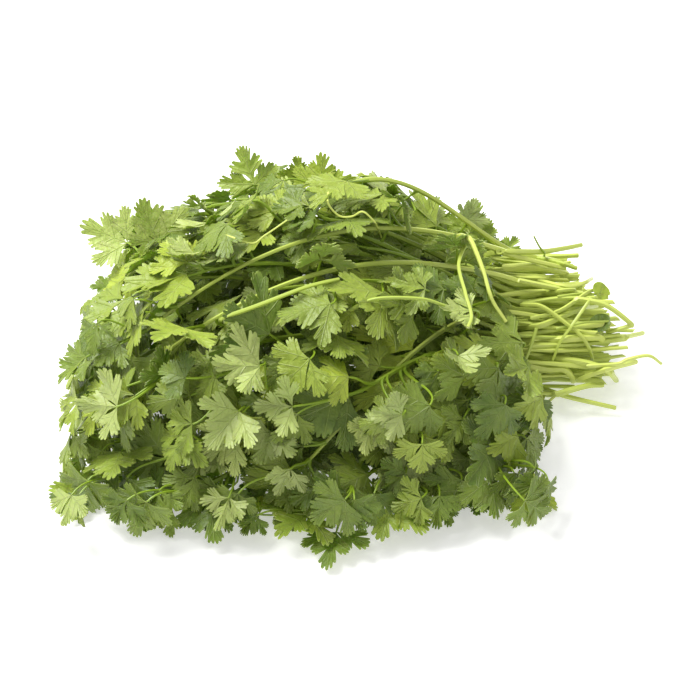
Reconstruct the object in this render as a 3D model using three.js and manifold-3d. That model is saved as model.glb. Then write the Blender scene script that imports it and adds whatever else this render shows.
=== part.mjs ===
// A bunch of fresh coriander lying on a table: leafy stems, cut at one end and fanned out at the other.
// Millimetres, +Z up. +X runs along the stems to their cut ends, and the table is z = 0.
import * as THREE from "three";
import { mergeVertices } from "three/addons/utils/BufferGeometryUtils.js";
import Module from "manifold-3d";

// Driving dimensions. A pair of numbers in a list is the lowest and highest value of a random draw.
const SEED = 11;
const DEGREE = Math.PI / 180;
const MIDDLE = { x: -1.7, y: -10.7 }; // of the whole bunch's box, which the origin is moved to

// The heap of leaves is a low dome that the stem tips reach, and leaves stand out past it.
const HEAP = { middleX: -29, middleY: -4, halfLength: 107, halfWidth: 102, height: 100 };
const DOME = 2.4; // how square the dome is, where 2 is round
const EDGE = 4; // the same for its edge on the table
const HEAP_UP = 0.45; // how far leaves on its sides face up rather than out
const BURIED = 31; // no leaf stays on a stem this far under the dome

// The bundle of bare stems: half an ellipse, seen from the cut ends, with its flat side on the table.
const GRIP = { x: 84, y: 22 };
const BUNDLE = { halfWidth: 43, height: 50, sunk: 6, uneven: [-1, 1] };
const CUT_END = { shortest: 30, longer: [0, 18], nearSide: 8, splay: 0.12, uneven: [-4, 4] };

// Rings of stems in the bundle. The outer ones end first, so each ring's leaves lie over the next one's.
// share: place between the middle of the bundle and its outside. reach: how far over the heap its highest
// stem goes. fan: the furthest that its lowest stems turn to the side, in degrees.
const RINGS = [
  { share: 1.0, stems: 9, reach: 0.27, fan: 74 },
  { share: 0.86, stems: 11, reach: 0.48, fan: 68 },
  { share: 0.68, stems: 10, reach: 0.66, fan: 56 },
  { share: 0.48, stems: 9, reach: 0.82, fan: 37 },
  { share: 0.28, stems: 6, reach: 0.95, fan: 27 },
];
const TURN_UNEVEN = [-4, 4]; // degrees
const REACH_UNEVEN = [-0.06, 0.03];
const TIP_DEPTH = [0.86, 1]; // share of the dome's height
const TIP_OVER_TABLE = { inside: 3, outside: 4, more: [0, 6] };
const PULL = { leaving: [0.26, 0.38], lowStems: 0.14, lift: 0.3, arriving: [0.25, 0.4] };

// Stems that lie over the others, by hand: cut end, grip, two points that pull the curve, and tip.
const LOOSE = [
  [[122, 26, 48], [84, 20, 62], [42, 12, 86], [-14, -22, 132], [-98, -52, 66]],
  [[128, 12, 44], [84, 8, 55], [42, 0, 76], [-16, -46, 122], [-90, -62, 60]],
  [[124, 44, 38], [86, 34, 52], [50, 25, 84], [22, 20, 128], [-14, 16, 98]],
  [[120, -2, 36], [84, -3, 44], [50, -6, 54], [24, -76, 72], [-20, -100, 30]],
  [[134, -18, 10], [84, -14, 20], [36, -12, 32], [6, -92, 42], [-4, -114, 8]],
  [[130, -20, 22], [90, -19, 27], [56, -18, 34], [52, -72, 40], [74, -90, 9]],
  [[128, -12, 8], [84, -10, 12], [24, -8, 26], [-56, -84, 40], [-116, -94, 8]],
];
const LOOSE_BARE = 35; // they have no leaf further back from the tip than this

const STEM = { sides: 5, radius: [1.5, 2.1], tipShare: 0.42, lowerSteps: 5, curveSamples: 60 };
const ROOT = { sunk: 2, pastRing: 1.5 }; // of the leaf at the tip, and of the other leaves

// Leaves, each of three leaflets cut to the rib. One ends the stem, and the others stand back from it.
const LEAF_PLACES = [0, 28, 52, 78];
const LEAF = { length: [24, 32], thickness: 0.8, endStalk: 7, sideStalk: [7, 20] };
const LEAFLET_TURN = 62; // between the midribs of neighbouring leaflets, in degrees
// Half of a leaflet's edge: an angle from its midrib in degrees and a share of the leaf's length.
const LOBES = [
  [0, 1.0],
  [12, 0.8],
  [24, 0.92],
];
const CUT = [LEAFLET_TURN / 2, 0.22]; // between two leaflets, nearly to the rib
const SHOULDER = [LEAFLET_TURN * 2, 0.1];

// How a leaf stands on its stem, in degrees. The elbow is the sharpest turn from its stalk to its blade.
const STANDS = {
  twist: [-20, 20],
  spread: [32, 80],
  sway: [-15, 15],
  lift: [-30, 20],
  droop: [-14, 26],
  roll: [-22, 22],
  elbow: 50,
};
// How a leaf is shaped, as shares of its length: the bend along it, the fold at each rib and the wings' fall
const SHAPED = { bend: [0.05, 0.25], fold: [-0.05, 0.3], wing: [-0.15, 0.4] };

// Each new try at a piece is looser, and each new try at a leaf is also lifted, smaller and longer stalked.
const TRIES = 80;
const RETRY = { stem: 0.06, leaf: 0.025, lift: 0.5, droop: 0.5, smaller: 0.005, longer: 0.1 };
const CLEARANCE = 0.4; // between one leafy stem and the next
const ROUNDING = 0.01;

const COLOURS = { inner: 0x7f9c42, outer: 0x5f8030 };
const ROUGHNESS = 0.5;

const wasm = await Module();
wasm.setup();

// Random draws that are the same on every run

function scramble(value) {
  let h = value >>> 0;
  h = Math.imul(h ^ (h >>> 16), 0x45d9f3b) >>> 0;
  h = Math.imul(h ^ (h >>> 16), 0x45d9f3b) >>> 0;
  return (h ^ (h >>> 16)) >>> 0;
}

// The keys name a piece, and each piece has a stream of draws of its own.
function drawsFor(...keys) {
  let state = keys.reduce((seed, key) => scramble(seed * 31 + key), SEED);
  return ([low, high]) => {
    state = scramble(state + 0x9e3779b9);
    return low + ((high - low) * state) / 2 ** 32;
  };
}

// The heap

function outward(x, y, power) {
  const along = Math.abs((x - HEAP.middleX) / HEAP.halfLength);
  const across = Math.abs((y - HEAP.middleY) / HEAP.halfWidth);
  return along ** power + across ** power;
}

function heapHeight(x, y) {
  return HEAP.height * Math.sqrt(Math.max(1 - outward(x, y, DOME), 0));
}

function heapNormal(point) {
  const fall = (offset, half) =>
    (Math.sign(offset) * DOME * Math.abs(offset / half) ** (DOME - 1)) / half;
  const normal = new THREE.Vector3(
    fall(point.x - HEAP.middleX, HEAP.halfLength),
    fall(point.y - HEAP.middleY, HEAP.halfWidth),
    (2 * Math.max(point.z, 1)) / HEAP.height ** 2,
  ).normalize();
  normal.z += HEAP_UP;
  return normal.normalize();
}

// How far the heap reaches from the grip in one direction
function heapReach(angle) {
  let near = 0;
  let far = 2 * (HEAP.halfLength + HEAP.halfWidth);
  while (far - near > ROUNDING) {
    const middle = (near + far) / 2;
    const x = GRIP.x - middle * Math.cos(angle);
    const y = GRIP.y + middle * Math.sin(angle);
    if (outward(x, y, EDGE) < 1) near = middle;
    else far = middle;
  }
  return near;
}

// Stems

// The straight run of a stem in the bundle, from its cut end to the grip
function straightRun(slot, draw, loose, radius) {
  const low = radius * Math.cos(Math.PI / STEM.sides);
  const sideways = slot.share * Math.cos(slot.around);
  const raised = BUNDLE.height * slot.share * Math.sin(slot.around) - BUNDLE.sunk;
  const grip = new THREE.Vector3(
    GRIP.x,
    GRIP.y + BUNDLE.halfWidth * sideways + draw(BUNDLE.uneven) * loose,
    low + Math.max(raised + draw(BUNDLE.uneven) * loose, 0),
  );
  const past = CUT_END.shortest + CUT_END.nearSide * (1 - sideways) + draw(CUT_END.longer);
  const aside = (grip.y - GRIP.y) * CUT_END.splay + draw(CUT_END.uneven) * loose;
  const lifted = (grip.z - low) * CUT_END.splay + draw(CUT_END.uneven) * loose;
  const cut = new THREE.Vector3(grip.x + past, grip.y + aside, grip.z);
  if (grip.z > low) cut.z = Math.max(grip.z + lifted, low);
  return { cut, grip };
}

// A stem's centreline: straight from the cut end to the grip, then one Bezier curve to the tip
function stemPath(slot, attempt) {
  const draw = drawsFor(1, slot.number, attempt);
  const loose = 1 + attempt * RETRY.stem;
  const radius = draw(STEM.radius);
  if (slot.byHand) {
    const [cut, ...curve] = slot.byHand.map((point) => new THREE.Vector3(...point));
    return { radius, cut, curve };
  }
  const { cut, grip } = straightRun(slot, draw, loose, radius);
  const upright = slot.around / (Math.PI / 2);
  const turn = ((1 - upright) * slot.fan + draw(TURN_UNEVEN) * loose) * DEGREE;
  const low = Math.cos(slot.around) ** 2;
  const share = slot.reach + (1 - slot.reach) * low + draw(REACH_UNEVEN);
  const reach = share * heapReach(turn);
  const tip = new THREE.Vector3(GRIP.x - reach * Math.cos(turn), GRIP.y + reach * Math.sin(turn), 0);
  const inDome = heapHeight(tip.x, tip.y) * draw(TIP_DEPTH);
  const { inside, outside, more } = TIP_OVER_TABLE;
  tip.z = Math.max(inDome, inside + outside * slot.share + draw(more));
  const span = grip.distanceTo(tip);
  const leaving = new THREE.Vector3().subVectors(grip, cut).normalize();
  const first = grip.clone().addScaledVector(leaving, span * (draw(PULL.leaving) + PULL.lowStems * low));
  first.z += (tip.z - grip.z) * PULL.lift;
  const arriving = new THREE.Vector3(tip.x - grip.x, tip.y - grip.y, 0).normalize();
  const normal = heapNormal(tip);
  arriving.addScaledVector(normal, -arriving.dot(normal)).normalize();
  const last = tip.clone().addScaledVector(arriving, -span * draw(PULL.arriving));
  last.z = Math.min(last.z, HEAP.height);
  return { radius, cut, curve: [grip, first, last, tip] };
}

function bezier([a, b, c, d], t) {
  const s = 1 - t;
  return new THREE.Vector3()
    .addScaledVector(a, s * s * s)
    .addScaledVector(b, 3 * s * s * t)
    .addScaledVector(c, 3 * s * t * t)
    .addScaledVector(d, t * t * t);
}

function slope([a, b, c, d], t) {
  const s = 1 - t;
  return new THREE.Vector3()
    .addScaledVector(new THREE.Vector3().subVectors(b, a), s * s)
    .addScaledVector(new THREE.Vector3().subVectors(c, b), 2 * s * t)
    .addScaledVector(new THREE.Vector3().subVectors(d, c), t * t)
    .normalize();
}

// Where on the curve its leaves stand, from its tip back, as fractions of it
function leafFractions(curve) {
  const found = [];
  let length = 0;
  let previous = bezier(curve, 1);
  for (let i = STEM.curveSamples; i > 0; i--) {
    const t = i / STEM.curveSamples;
    const point = bezier(curve, t);
    length += point.distanceTo(previous);
    previous = point;
    while (found.length < LEAF_PLACES.length && length >= LEAF_PLACES[found.length]) found.push(t);
  }
  return found;
}

// A cylinder of this many sides and steps, with only its positions and each shared vertex once
function bareCylinder(sides, steps) {
  const made = new THREE.CylinderGeometry(1, 1, 1, sides, steps);
  made.deleteAttribute("normal");
  made.deleteAttribute("uv");
  return mergeVertices(made, 1e-4);
}

// Moves every vertex of a cylinder: place(side, step, onAxis) says where the vertex goes.
function reshaped(sides, steps, place) {
  const geometry = bareCylinder(sides, steps);
  const position = geometry.getAttribute("position");
  for (let i = 0; i < position.count; i++) {
    const [x, y, z] = [position.getX(i), position.getY(i), position.getZ(i)];
    const turn = Math.atan2(x, z) / (2 * Math.PI);
    const side = ((Math.round(turn * sides) % sides) + sides) % sides;
    const step = Math.round((0.5 - y) * steps);
    place(side, step, Math.hypot(x, z) < 0.5).toArray(position.array, 3 * i);
  }
  return geometry;
}

function solidOf(geometry) {
  const vertProperties = new Float32Array(geometry.getAttribute("position").array);
  const triVerts = new Uint32Array(geometry.index.array);
  return new wasm.Manifold(new wasm.Mesh({ numProp: 3, vertProperties, triVerts }));
}

// A stem has a ring of its own at each leaf, and others spread below the leaves.
function ringFractions(curve) {
  const leafy = leafFractions(curve).reverse();
  const lower = Array.from({ length: STEM.lowerSteps }, (_, i) => (i / STEM.lowerSteps) * leafy[0]);
  return [...lower, ...leafy];
}

// Where a leaf is rooted: a little past its own ring, on the straight way to the next one
function rootOf(curve, leafNumber) {
  const rings = ringFractions(curve);
  const own = rings.length - 1 - leafNumber;
  const at = bezier(curve, rings[own]);
  const next = bezier(curve, rings[leafNumber ? own + 1 : own - 1]);
  return at.addScaledVector(next.sub(at).normalize(), leafNumber ? ROOT.pastRing : ROOT.sunk);
}

function stemSolid(path, extra = 0) {
  const { sides, tipShare } = STEM;
  const stations = ringFractions(path.curve).map((t) => ({
    at: bezier(path.curve, t),
    along: slope(path.curve, t),
    radius: path.radius * (1 - (1 - tipShare) * t) + extra,
  }));
  const straight = new THREE.Vector3().subVectors(path.curve[0], path.cut).normalize();
  stations.unshift({ at: path.cut, along: straight, radius: path.radius + extra });
  const steps = stations.length - 1;
  const geometry = reshaped(sides, steps, (side, step, onAxis) => {
    const { at, along, radius } = stations[steps - step];
    if (onAxis) return at.clone();
    const across = new THREE.Vector3(-along.y, along.x, 0).normalize();
    const up = new THREE.Vector3().crossVectors(along, across);
    const angle = ((side + 0.5) / sides) * 2 * Math.PI - Math.PI / 2;
    return at
      .clone()
      .addScaledVector(across, radius * Math.cos(angle))
      .addScaledVector(up, radius * Math.sin(angle));
  });
  return solidOf(geometry);
}

// Leaves

// The edge of a whole leaf, from its middle tip round by the stalk and back
function leafRim() {
  const mirrored = (edge) => edge.slice(1).reverse().map(([angle, share]) => [-angle, share]);
  const leaflet = [...mirrored(LOBES), ...LOBES];
  const turned = leaflet.map(([angle, share]) => [angle + LEAFLET_TURN, share]);
  const half = [...LOBES, CUT, ...turned, SHOULDER];
  return [...half, [180, 0], ...mirrored(half)];
}
const RIM = leafRim();

// Where a leaf grows from, which way it points and how it bends
function leafPose(path, stemNumber, leaf, attempt) {
  const draw = drawsFor(2, stemNumber, leaf.number, attempt);
  const wild = 1 + attempt * RETRY.leaf;
  const at = bezier(path.curve, leaf.t);
  const along = slope(path.curve, leaf.t);
  const normal = heapNormal(at);
  normal.addScaledVector(along, -normal.dot(along)).normalize();
  normal.applyAxisAngle(along, draw(STANDS.twist) * DEGREE * wild);
  const side = new THREE.Vector3().crossVectors(normal, along);
  const spread = (leaf.side ? leaf.side * draw(STANDS.spread) : draw(STANDS.sway)) * DEGREE;
  const axis = along.clone().multiplyScalar(Math.cos(spread)).addScaledVector(side, Math.sin(spread));
  const across = new THREE.Vector3().crossVectors(normal, axis);
  const lift = (leaf.side ? draw(STANDS.lift) : 0) - attempt * RETRY.lift;
  const stalk = axis.clone().applyAxisAngle(across, lift * DEGREE);
  const wanted = draw(STANDS.droop) * wild - attempt * RETRY.droop;
  const droop = THREE.MathUtils.clamp(wanted, lift - STANDS.elbow, lift + STANDS.elbow) * DEGREE;
  axis.applyAxisAngle(across, droop);
  normal.applyAxisAngle(across, droop);
  const roll = draw(STANDS.roll) * DEGREE * wild;
  across.applyAxisAngle(axis, roll);
  normal.applyAxisAngle(axis, roll);
  const length = draw(LEAF.length) * (1 - attempt * RETRY.smaller);
  const stalkLength = leaf.side ? draw(LEAF.sideStalk) + attempt * RETRY.longer : LEAF.endStalk;
  const root = rootOf(path.curve, leaf.number);
  return {
    root,
    stalk,
    heart: root.clone().addScaledVector(stalk, stalkLength),
    axis,
    across,
    normal,
    length,
    bend: draw(SHAPED.bend),
    fold: draw(SHAPED.fold),
    wing: draw(SHAPED.wing),
  };
}

// A point of the leaf's middle surface, from its angle to the midrib and its distance from the heart
function leafPoint(pose, angle, distance) {
  const leaflet = Math.round(THREE.MathUtils.clamp(angle / LEAFLET_TURN, -1, 1));
  const sideways = distance * Math.sin(angle * DEGREE);
  const fromRib = distance * Math.sin((angle - leaflet * LEAFLET_TURN) * DEGREE);
  const bent = (pose.bend * distance ** 2) / pose.length;
  return pose.heart
    .clone()
    .addScaledVector(pose.axis, distance * Math.cos(angle * DEGREE))
    .addScaledVector(pose.across, sideways)
    .addScaledVector(pose.normal, pose.fold * Math.abs(fromRib) - pose.wing * Math.abs(sideways) - bent);
}

function leafSolid(pose, extra = 0) {
  const half = LEAF.thickness / 2 + extra;
  const acrossStalk = pose.normal.clone().addScaledVector(pose.stalk, -pose.normal.dot(pose.stalk)).normalize();
  const geometry = reshaped(RIM.length, 1, (side, step, onAxis) => {
    const [angle, share] = RIM[side];
    const up = step ? -half : half;
    if (onAxis) return leafPoint(pose, 0, 0).addScaledVector(pose.normal, up);
    if (share === 0) return pose.root.clone().addScaledVector(acrossStalk, up);
    return leafPoint(pose, angle, share * pose.length + extra).addScaledVector(pose.normal, up);
  });
  return solidOf(geometry);
}

// Growing the bunch: each piece is drawn again until it is above the table and clear of what is there

function boxesMeet(a, b) {
  return a.min.every((low, i) => low <= b.max[i]) && b.min.every((low, i) => low <= a.max[i]);
}

// The solid has the clearance on it, so it may reach that far under the table.
function isClear(solid, placed, ownStem) {
  const box = solid.boundingBox();
  if (box.min[2] < -CLEARANCE - ROUNDING) return false;
  for (const other of placed) {
    if (other.isStem && other.stemNumber === ownStem) continue;
    if (!boxesMeet(box, other.box)) continue;
    const common = solid.intersect(other.solid);
    const meets = !common.isEmpty();
    common.delete();
    if (meets) return false;
  }
  return true;
}

function slots() {
  const all = LOOSE.map((byHand, number) => ({ number, byHand, share: 1 }));
  for (const ring of RINGS) {
    for (let i = 0; i < ring.stems; i++) {
      all.push({ ...ring, number: all.length, around: ((i + 0.5) / ring.stems) * Math.PI });
    }
  }
  return all;
}

// Grows the first try that is clear, and gives what it grew from, or null if none was clear
function growClear(placed, stemNumber, isStem, draft, solidFrom) {
  for (let attempt = 0; attempt < TRIES; attempt++) {
    const drawn = draft(attempt);
    const wide = solidFrom(drawn, CLEARANCE);
    const clear = isClear(wide, placed, isStem ? null : stemNumber);
    wide.delete();
    if (!clear) continue;
    const solid = solidFrom(drawn);
    placed.push({ stemNumber, isStem, solid, box: solid.boundingBox() });
    return { drawn, solid };
  }
  return null;
}

function hasLeaf(slot, place, at) {
  if (slot.byHand) return place < LOOSE_BARE;
  return heapHeight(at.x, at.y) - at.z < BURIED;
}

const placed = [];
const stems = [];
for (const slot of slots()) {
  const grown = growClear(placed, slot.number, true, (attempt) => stemPath(slot, attempt), stemSolid);
  if (grown) stems.push({ slot, path: grown.drawn, pieces: [grown.solid] });
}

// All the tips get their leaf first, then the next place back on every stem.
LEAF_PLACES.forEach((place, number) => {
  for (const { slot, path, pieces } of stems) {
    const t = leafFractions(path.curve)[number];
    if (t === undefined || !hasLeaf(slot, place, bezier(path.curve, t))) continue;
    const draft = (attempt) => {
      const side = number ? ((number + slot.number + attempt) % 2) * 2 - 1 : 0;
      return leafPose(path, slot.number, { t, side, number }, attempt);
    };
    const grown = growClear(placed, slot.number, false, draft, leafSolid);
    if (grown) pieces.push(grown.solid);
  }
});

const bunch = new THREE.Group();
bunch.position.set(-MIDDLE.x, -MIDDLE.y, 0);
for (const { slot, pieces } of stems) {
  const whole = pieces.slice(1).reduce((sum, piece) => sum.add(piece), pieces[0]);
  const mesh = whole.getMesh();
  const geometry = new THREE.BufferGeometry();
  geometry.setAttribute("position", new THREE.BufferAttribute(mesh.vertProperties, 3));
  geometry.setIndex(new THREE.BufferAttribute(mesh.triVerts, 1));
  geometry.computeVertexNormals();
  const color = new THREE.Color(COLOURS.inner).lerp(new THREE.Color(COLOURS.outer), slot.share);
  const material = new THREE.MeshStandardMaterial({ color, roughness: ROUGHNESS });
  const node = new THREE.Mesh(geometry, material);
  node.name = "leafy_stem_" + String(slot.number + 1).padStart(2, "0");
  bunch.add(node);
}

export default bunch;
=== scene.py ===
import math

import bpy
import numpy as np
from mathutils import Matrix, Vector
from mathutils.bvhtree import BVHTree


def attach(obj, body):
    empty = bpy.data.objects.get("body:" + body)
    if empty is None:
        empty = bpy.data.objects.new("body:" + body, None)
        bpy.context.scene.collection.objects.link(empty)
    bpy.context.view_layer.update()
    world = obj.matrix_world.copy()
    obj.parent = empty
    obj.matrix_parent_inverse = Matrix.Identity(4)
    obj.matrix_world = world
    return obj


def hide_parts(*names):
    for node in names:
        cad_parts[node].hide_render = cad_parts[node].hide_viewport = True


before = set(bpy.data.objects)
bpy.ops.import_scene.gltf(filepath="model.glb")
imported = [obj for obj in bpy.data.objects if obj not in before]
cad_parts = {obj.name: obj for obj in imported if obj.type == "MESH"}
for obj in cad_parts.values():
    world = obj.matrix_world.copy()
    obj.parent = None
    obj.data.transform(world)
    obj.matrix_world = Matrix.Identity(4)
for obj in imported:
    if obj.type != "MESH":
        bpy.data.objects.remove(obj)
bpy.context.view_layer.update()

scene = bpy.context.scene

# The camera
# A long lens looks down at the bunch from the front, with the cut ends to the right.
CAMERA_TURN = 0.0
CAMERA_RISE = 38.0
CAMERA_AWAY = 0.95
CAMERA_AIM = Vector((0.0017, 0.0107, 0.0206))
SENSOR = 36.0
VIEW_WIDTH = 0.3475

turn, rise = math.radians(CAMERA_TURN), math.radians(CAMERA_RISE)
away = Vector((math.sin(turn) * math.cos(rise), -math.cos(turn) * math.cos(rise), math.sin(rise)))
bpy.ops.object.camera_add(location=CAMERA_AIM + CAMERA_AWAY * away)
camera = bpy.context.object
camera.rotation_euler = away.to_track_quat("Z", "Y").to_euler()
camera.data.sensor_width = SENSOR
camera.data.lens = SENSOR * CAMERA_AWAY / VIEW_WIDTH
scene.camera = camera

# The studio
# A white table top under a wide soft light from the left and behind, with pale light all round.
WORLD_LIGHT = 0.68
KEY_POWER = 19.0
KEY_PLACE = (-0.52, 0.2, 1.0)
KEY_SIZE = (0.7, 0.5)
KEY_AIM = Vector((0, 0, 0.03))
FLOOR_SIZE = 40.0
FLOOR_COLOUR = "#E8E8E7"
FLOOR_ROUGH = 0.6
FLOOR_GLOW = 0.42


def linear(colour):
    """The linear colour of an sRGB hex value"""
    parts = [int(colour[i : i + 2], 16) / 255 for i in (1, 3, 5)]
    return [p / 12.92 if p <= 0.04045 else ((p + 0.055) / 1.055) ** 2.4 for p in parts] + [1.0]


def new_material(name):
    """An empty material with a Principled shader, and its node tree, shader and output"""
    material = bpy.data.materials.new(name)
    material.use_nodes = True
    tree = material.node_tree
    return material, tree, tree.nodes["Principled BSDF"]


def add_node(tree, kind, settings=None, inputs=()):
    """A node with its settings. Inputs go by name or in order, and are values, sockets or nodes."""
    node = tree.nodes.new(kind)
    for name, value in (settings or {}).items():
        setattr(node, name, value)
    for name, value in inputs.items() if isinstance(inputs, dict) else enumerate(inputs):
        if isinstance(value, bpy.types.Node):
            value = value.outputs[0]
        if isinstance(value, bpy.types.NodeSocket):
            tree.links.new(value, node.inputs[name])
        else:
            node.inputs[name].default_value = value
    return node


def only(*objects):
    """Selects these objects alone, the first of them active"""
    bpy.ops.object.select_all(action="DESELECT")
    for piece in objects:
        piece.select_set(True)
    bpy.context.view_layer.objects.active = objects[0]


scene.world = bpy.data.worlds.new("studio")
scene.world.use_nodes = True
scene.world.node_tree.nodes["Background"].inputs["Color"].default_value = (1, 1, 1, 1)
scene.world.node_tree.nodes["Background"].inputs["Strength"].default_value = WORLD_LIGHT
scene.view_settings.view_transform = "Standard"

bpy.ops.object.light_add(type="AREA", location=KEY_PLACE)
key = bpy.context.object
key.data.shape = "RECTANGLE"
key.data.size, key.data.size_y = KEY_SIZE
key.data.energy = KEY_POWER
key.rotation_euler = (key.location - KEY_AIM).to_track_quat("Z", "Y").to_euler()

bpy.ops.mesh.primitive_plane_add(size=FLOOR_SIZE)
floor = bpy.context.object
floor.name = "table_top"
white, _, white_shader = new_material("white laminate")
white_shader.inputs["Base Color"].default_value = linear(FLOOR_COLOUR)
white_shader.inputs["Roughness"].default_value = FLOOR_ROUGH
white_shader.inputs["Emission Color"].default_value = (1, 1, 1, 1)
white_shader.inputs["Emission Strength"].default_value = FLOOR_GLOW
floor.data.materials.append(white)

# How the bunch lies
# Stems gripped in a loose bundle, which open into a low heap. These are the same driving dimensions
# and the same draws as the solids were grown from, in millimetres, so each fine stem and leaf falls
# where its solid is. A pair of numbers is the lowest and highest value of a draw.
SEED = 11
MIDDLE = np.array([-1.7, -10.7, 0.0])
HEAP_MIDDLE = np.array([-29.0, -4.0])
HEAP_HALF = np.array([107.0, 102.0])
HEAP_HEIGHT = 100.0
DOME = 2.4
EDGE = 4
HEAP_UP = 0.45
GRIP = np.array([84.0, 22.0])
BUNDLE = {"half_width": 43, "height": 50, "sunk": 6, "uneven": (-1, 1)}
CUT_END = {"shortest": 30, "longer": (0, 18), "near_side": 8, "splay": 0.12, "uneven": (-4, 4)}
RINGS = [
    {"share": 1.0, "stems": 9, "reach": 0.27, "fan": 74},
    {"share": 0.86, "stems": 11, "reach": 0.48, "fan": 68},
    {"share": 0.68, "stems": 10, "reach": 0.66, "fan": 56},
    {"share": 0.48, "stems": 9, "reach": 0.82, "fan": 37},
    {"share": 0.28, "stems": 6, "reach": 0.95, "fan": 27},
]
TURN_UNEVEN = (-4, 4)
REACH_UNEVEN = (-0.06, 0.03)
TIP_DEPTH = (0.86, 1)
TIP_OVER_TABLE = {"inside": 3, "outside": 4, "more": (0, 6)}
PULL = {"leaving": (0.26, 0.38), "low_stems": 0.14, "lift": 0.3, "arriving": (0.25, 0.4)}
LOOSE = [
    [(122, 26, 48), (84, 20, 62), (42, 12, 86), (-14, -22, 132), (-98, -52, 66)],
    [(128, 12, 44), (84, 8, 55), (42, 0, 76), (-16, -46, 122), (-90, -62, 60)],
    [(124, 44, 38), (86, 34, 52), (50, 25, 84), (22, 20, 128), (-14, 16, 98)],
    [(120, -2, 36), (84, -3, 44), (50, -6, 54), (24, -76, 72), (-20, -100, 30)],
    [(134, -18, 10), (84, -14, 20), (36, -12, 32), (6, -92, 42), (-4, -114, 8)],
    [(130, -20, 22), (90, -19, 27), (56, -18, 34), (52, -72, 40), (74, -90, 9)],
    [(128, -12, 8), (84, -10, 12), (24, -8, 26), (-56, -84, 40), (-116, -94, 8)],
]
STEM_SIDES = 5
STEM_RADIUS = (1.5, 2.1)
TIP_SHARE = 0.42
LOWER_STEPS = 5
CURVE_SAMPLES = 60
ROOT_SUNK = 2
ROOT_PAST_RING = 1.5
LEAF_PLACES = [0, 28, 52, 78]
LEAF_LENGTH = (24, 32)
LEAF_SOLID = 0.8
NORMAL_TURN = (-20, 20)
END_SPREAD = (-15, 15)
SIDE_SPREAD = (32, 80)
SIDE_LIFT = (-30, 20)
DROOP = (-14, 26)
ROLL = (-22, 22)
BEND = (0.05, 0.25)
FOLD = (-0.05, 0.3)
WING = (-0.15, 0.4)
END_STALK = 7
SIDE_STALK = (7, 20)
LEAFLET_TURN = 62
ELBOW = 50
TRIES = 80
RETRY = {"stem": 0.06, "leaf": 0.025, "lift": 0.5, "droop": 0.5, "smaller": 0.005, "longer": 0.1}
SAME_PLACE = 0.02


def scramble(value):
    """One round of a small integer hash, the same in every run"""
    h = value & 0xFFFFFFFF
    h = ((h ^ (h >> 16)) * 0x45D9F3B) & 0xFFFFFFFF
    h = ((h ^ (h >> 16)) * 0x45D9F3B) & 0xFFFFFFFF
    return h ^ (h >> 16)


def draws_for(*keys):
    """A stream of draws of its own for the piece that the keys name"""
    state = SEED
    for key_number in keys:
        state = scramble(state * 31 + key_number)

    def draw(limits):
        nonlocal state
        state = scramble(state + 0x9E3779B9)
        return limits[0] + (limits[1] - limits[0]) * state / 2**32

    return draw


def unit(vector):
    return vector / np.linalg.norm(vector)


def turned(vector, axis, angle):
    """The vector turned about a unit axis by an angle in radians"""
    along = axis * (axis @ vector) * (1 - math.cos(angle))
    return vector * math.cos(angle) + np.cross(axis, vector) * math.sin(angle) + along


def outward(x, y, power):
    """How far out a place is on the heap's rounded rectangle, 1 at its edge"""
    along, across = np.abs((np.array([x, y]) - HEAP_MIDDLE) / HEAP_HALF)
    return along**power + across**power


def heap_height(x, y):
    return HEAP_HEIGHT * math.sqrt(max(1 - outward(x, y, DOME), 0))


def heap_normal(point):
    """The way a leaf on the heap's dome faces, a little more upwards than the dome does"""
    offset = (point[:2] - HEAP_MIDDLE) / HEAP_HALF
    fall = np.sign(offset) * DOME * np.abs(offset) ** (DOME - 1) / HEAP_HALF
    normal = unit(np.array([fall[0], fall[1], 2 * max(point[2], 1) / HEAP_HEIGHT**2]))
    normal[2] += HEAP_UP
    return unit(normal)


def heap_reach(angle):
    """How far the heap reaches from the grip in one direction"""
    near, far = 0.0, 2 * (HEAP_HALF[0] + HEAP_HALF[1])
    while far - near > 0.01:
        middle = (near + far) / 2
        if outward(GRIP[0] - middle * math.cos(angle), GRIP[1] + middle * math.sin(angle), EDGE) < 1:
            near = middle
        else:
            far = middle
    return near


def bezier(curve, t):
    """A point on a cubic curve"""
    s = 1 - t
    a, b, c, d = curve
    return a * s**3 + 3 * b * s * s * t + 3 * c * s * t * t + d * t**3


def slope(curve, t):
    """The direction of a cubic curve at a point"""
    s = 1 - t
    a, b, c, d = curve
    return unit((b - a) * s * s + 2 * (c - b) * s * t + (d - c) * t * t)


def straight_run(slot, draw, loose, radius):
    """The cut end and the grip of a stem in the bundle"""
    low = radius * math.cos(math.pi / STEM_SIDES)
    sideways = slot["share"] * math.cos(slot["around"])
    raised = BUNDLE["height"] * slot["share"] * math.sin(slot["around"]) - BUNDLE["sunk"]
    grip_y = GRIP[1] + BUNDLE["half_width"] * sideways + draw(BUNDLE["uneven"]) * loose
    grip_z = low + max(raised + draw(BUNDLE["uneven"]) * loose, 0)
    past = CUT_END["shortest"] + CUT_END["near_side"] * (1 - sideways) + draw(CUT_END["longer"])
    aside = (grip_y - GRIP[1]) * CUT_END["splay"] + draw(CUT_END["uneven"]) * loose
    lifted = (grip_z - low) * CUT_END["splay"] + draw(CUT_END["uneven"]) * loose
    cut_z = max(grip_z + lifted, low) if grip_z > low else grip_z
    grip = np.array([GRIP[0], grip_y, grip_z])
    return np.array([grip[0] + past, grip_y + aside, cut_z]), grip


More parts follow.
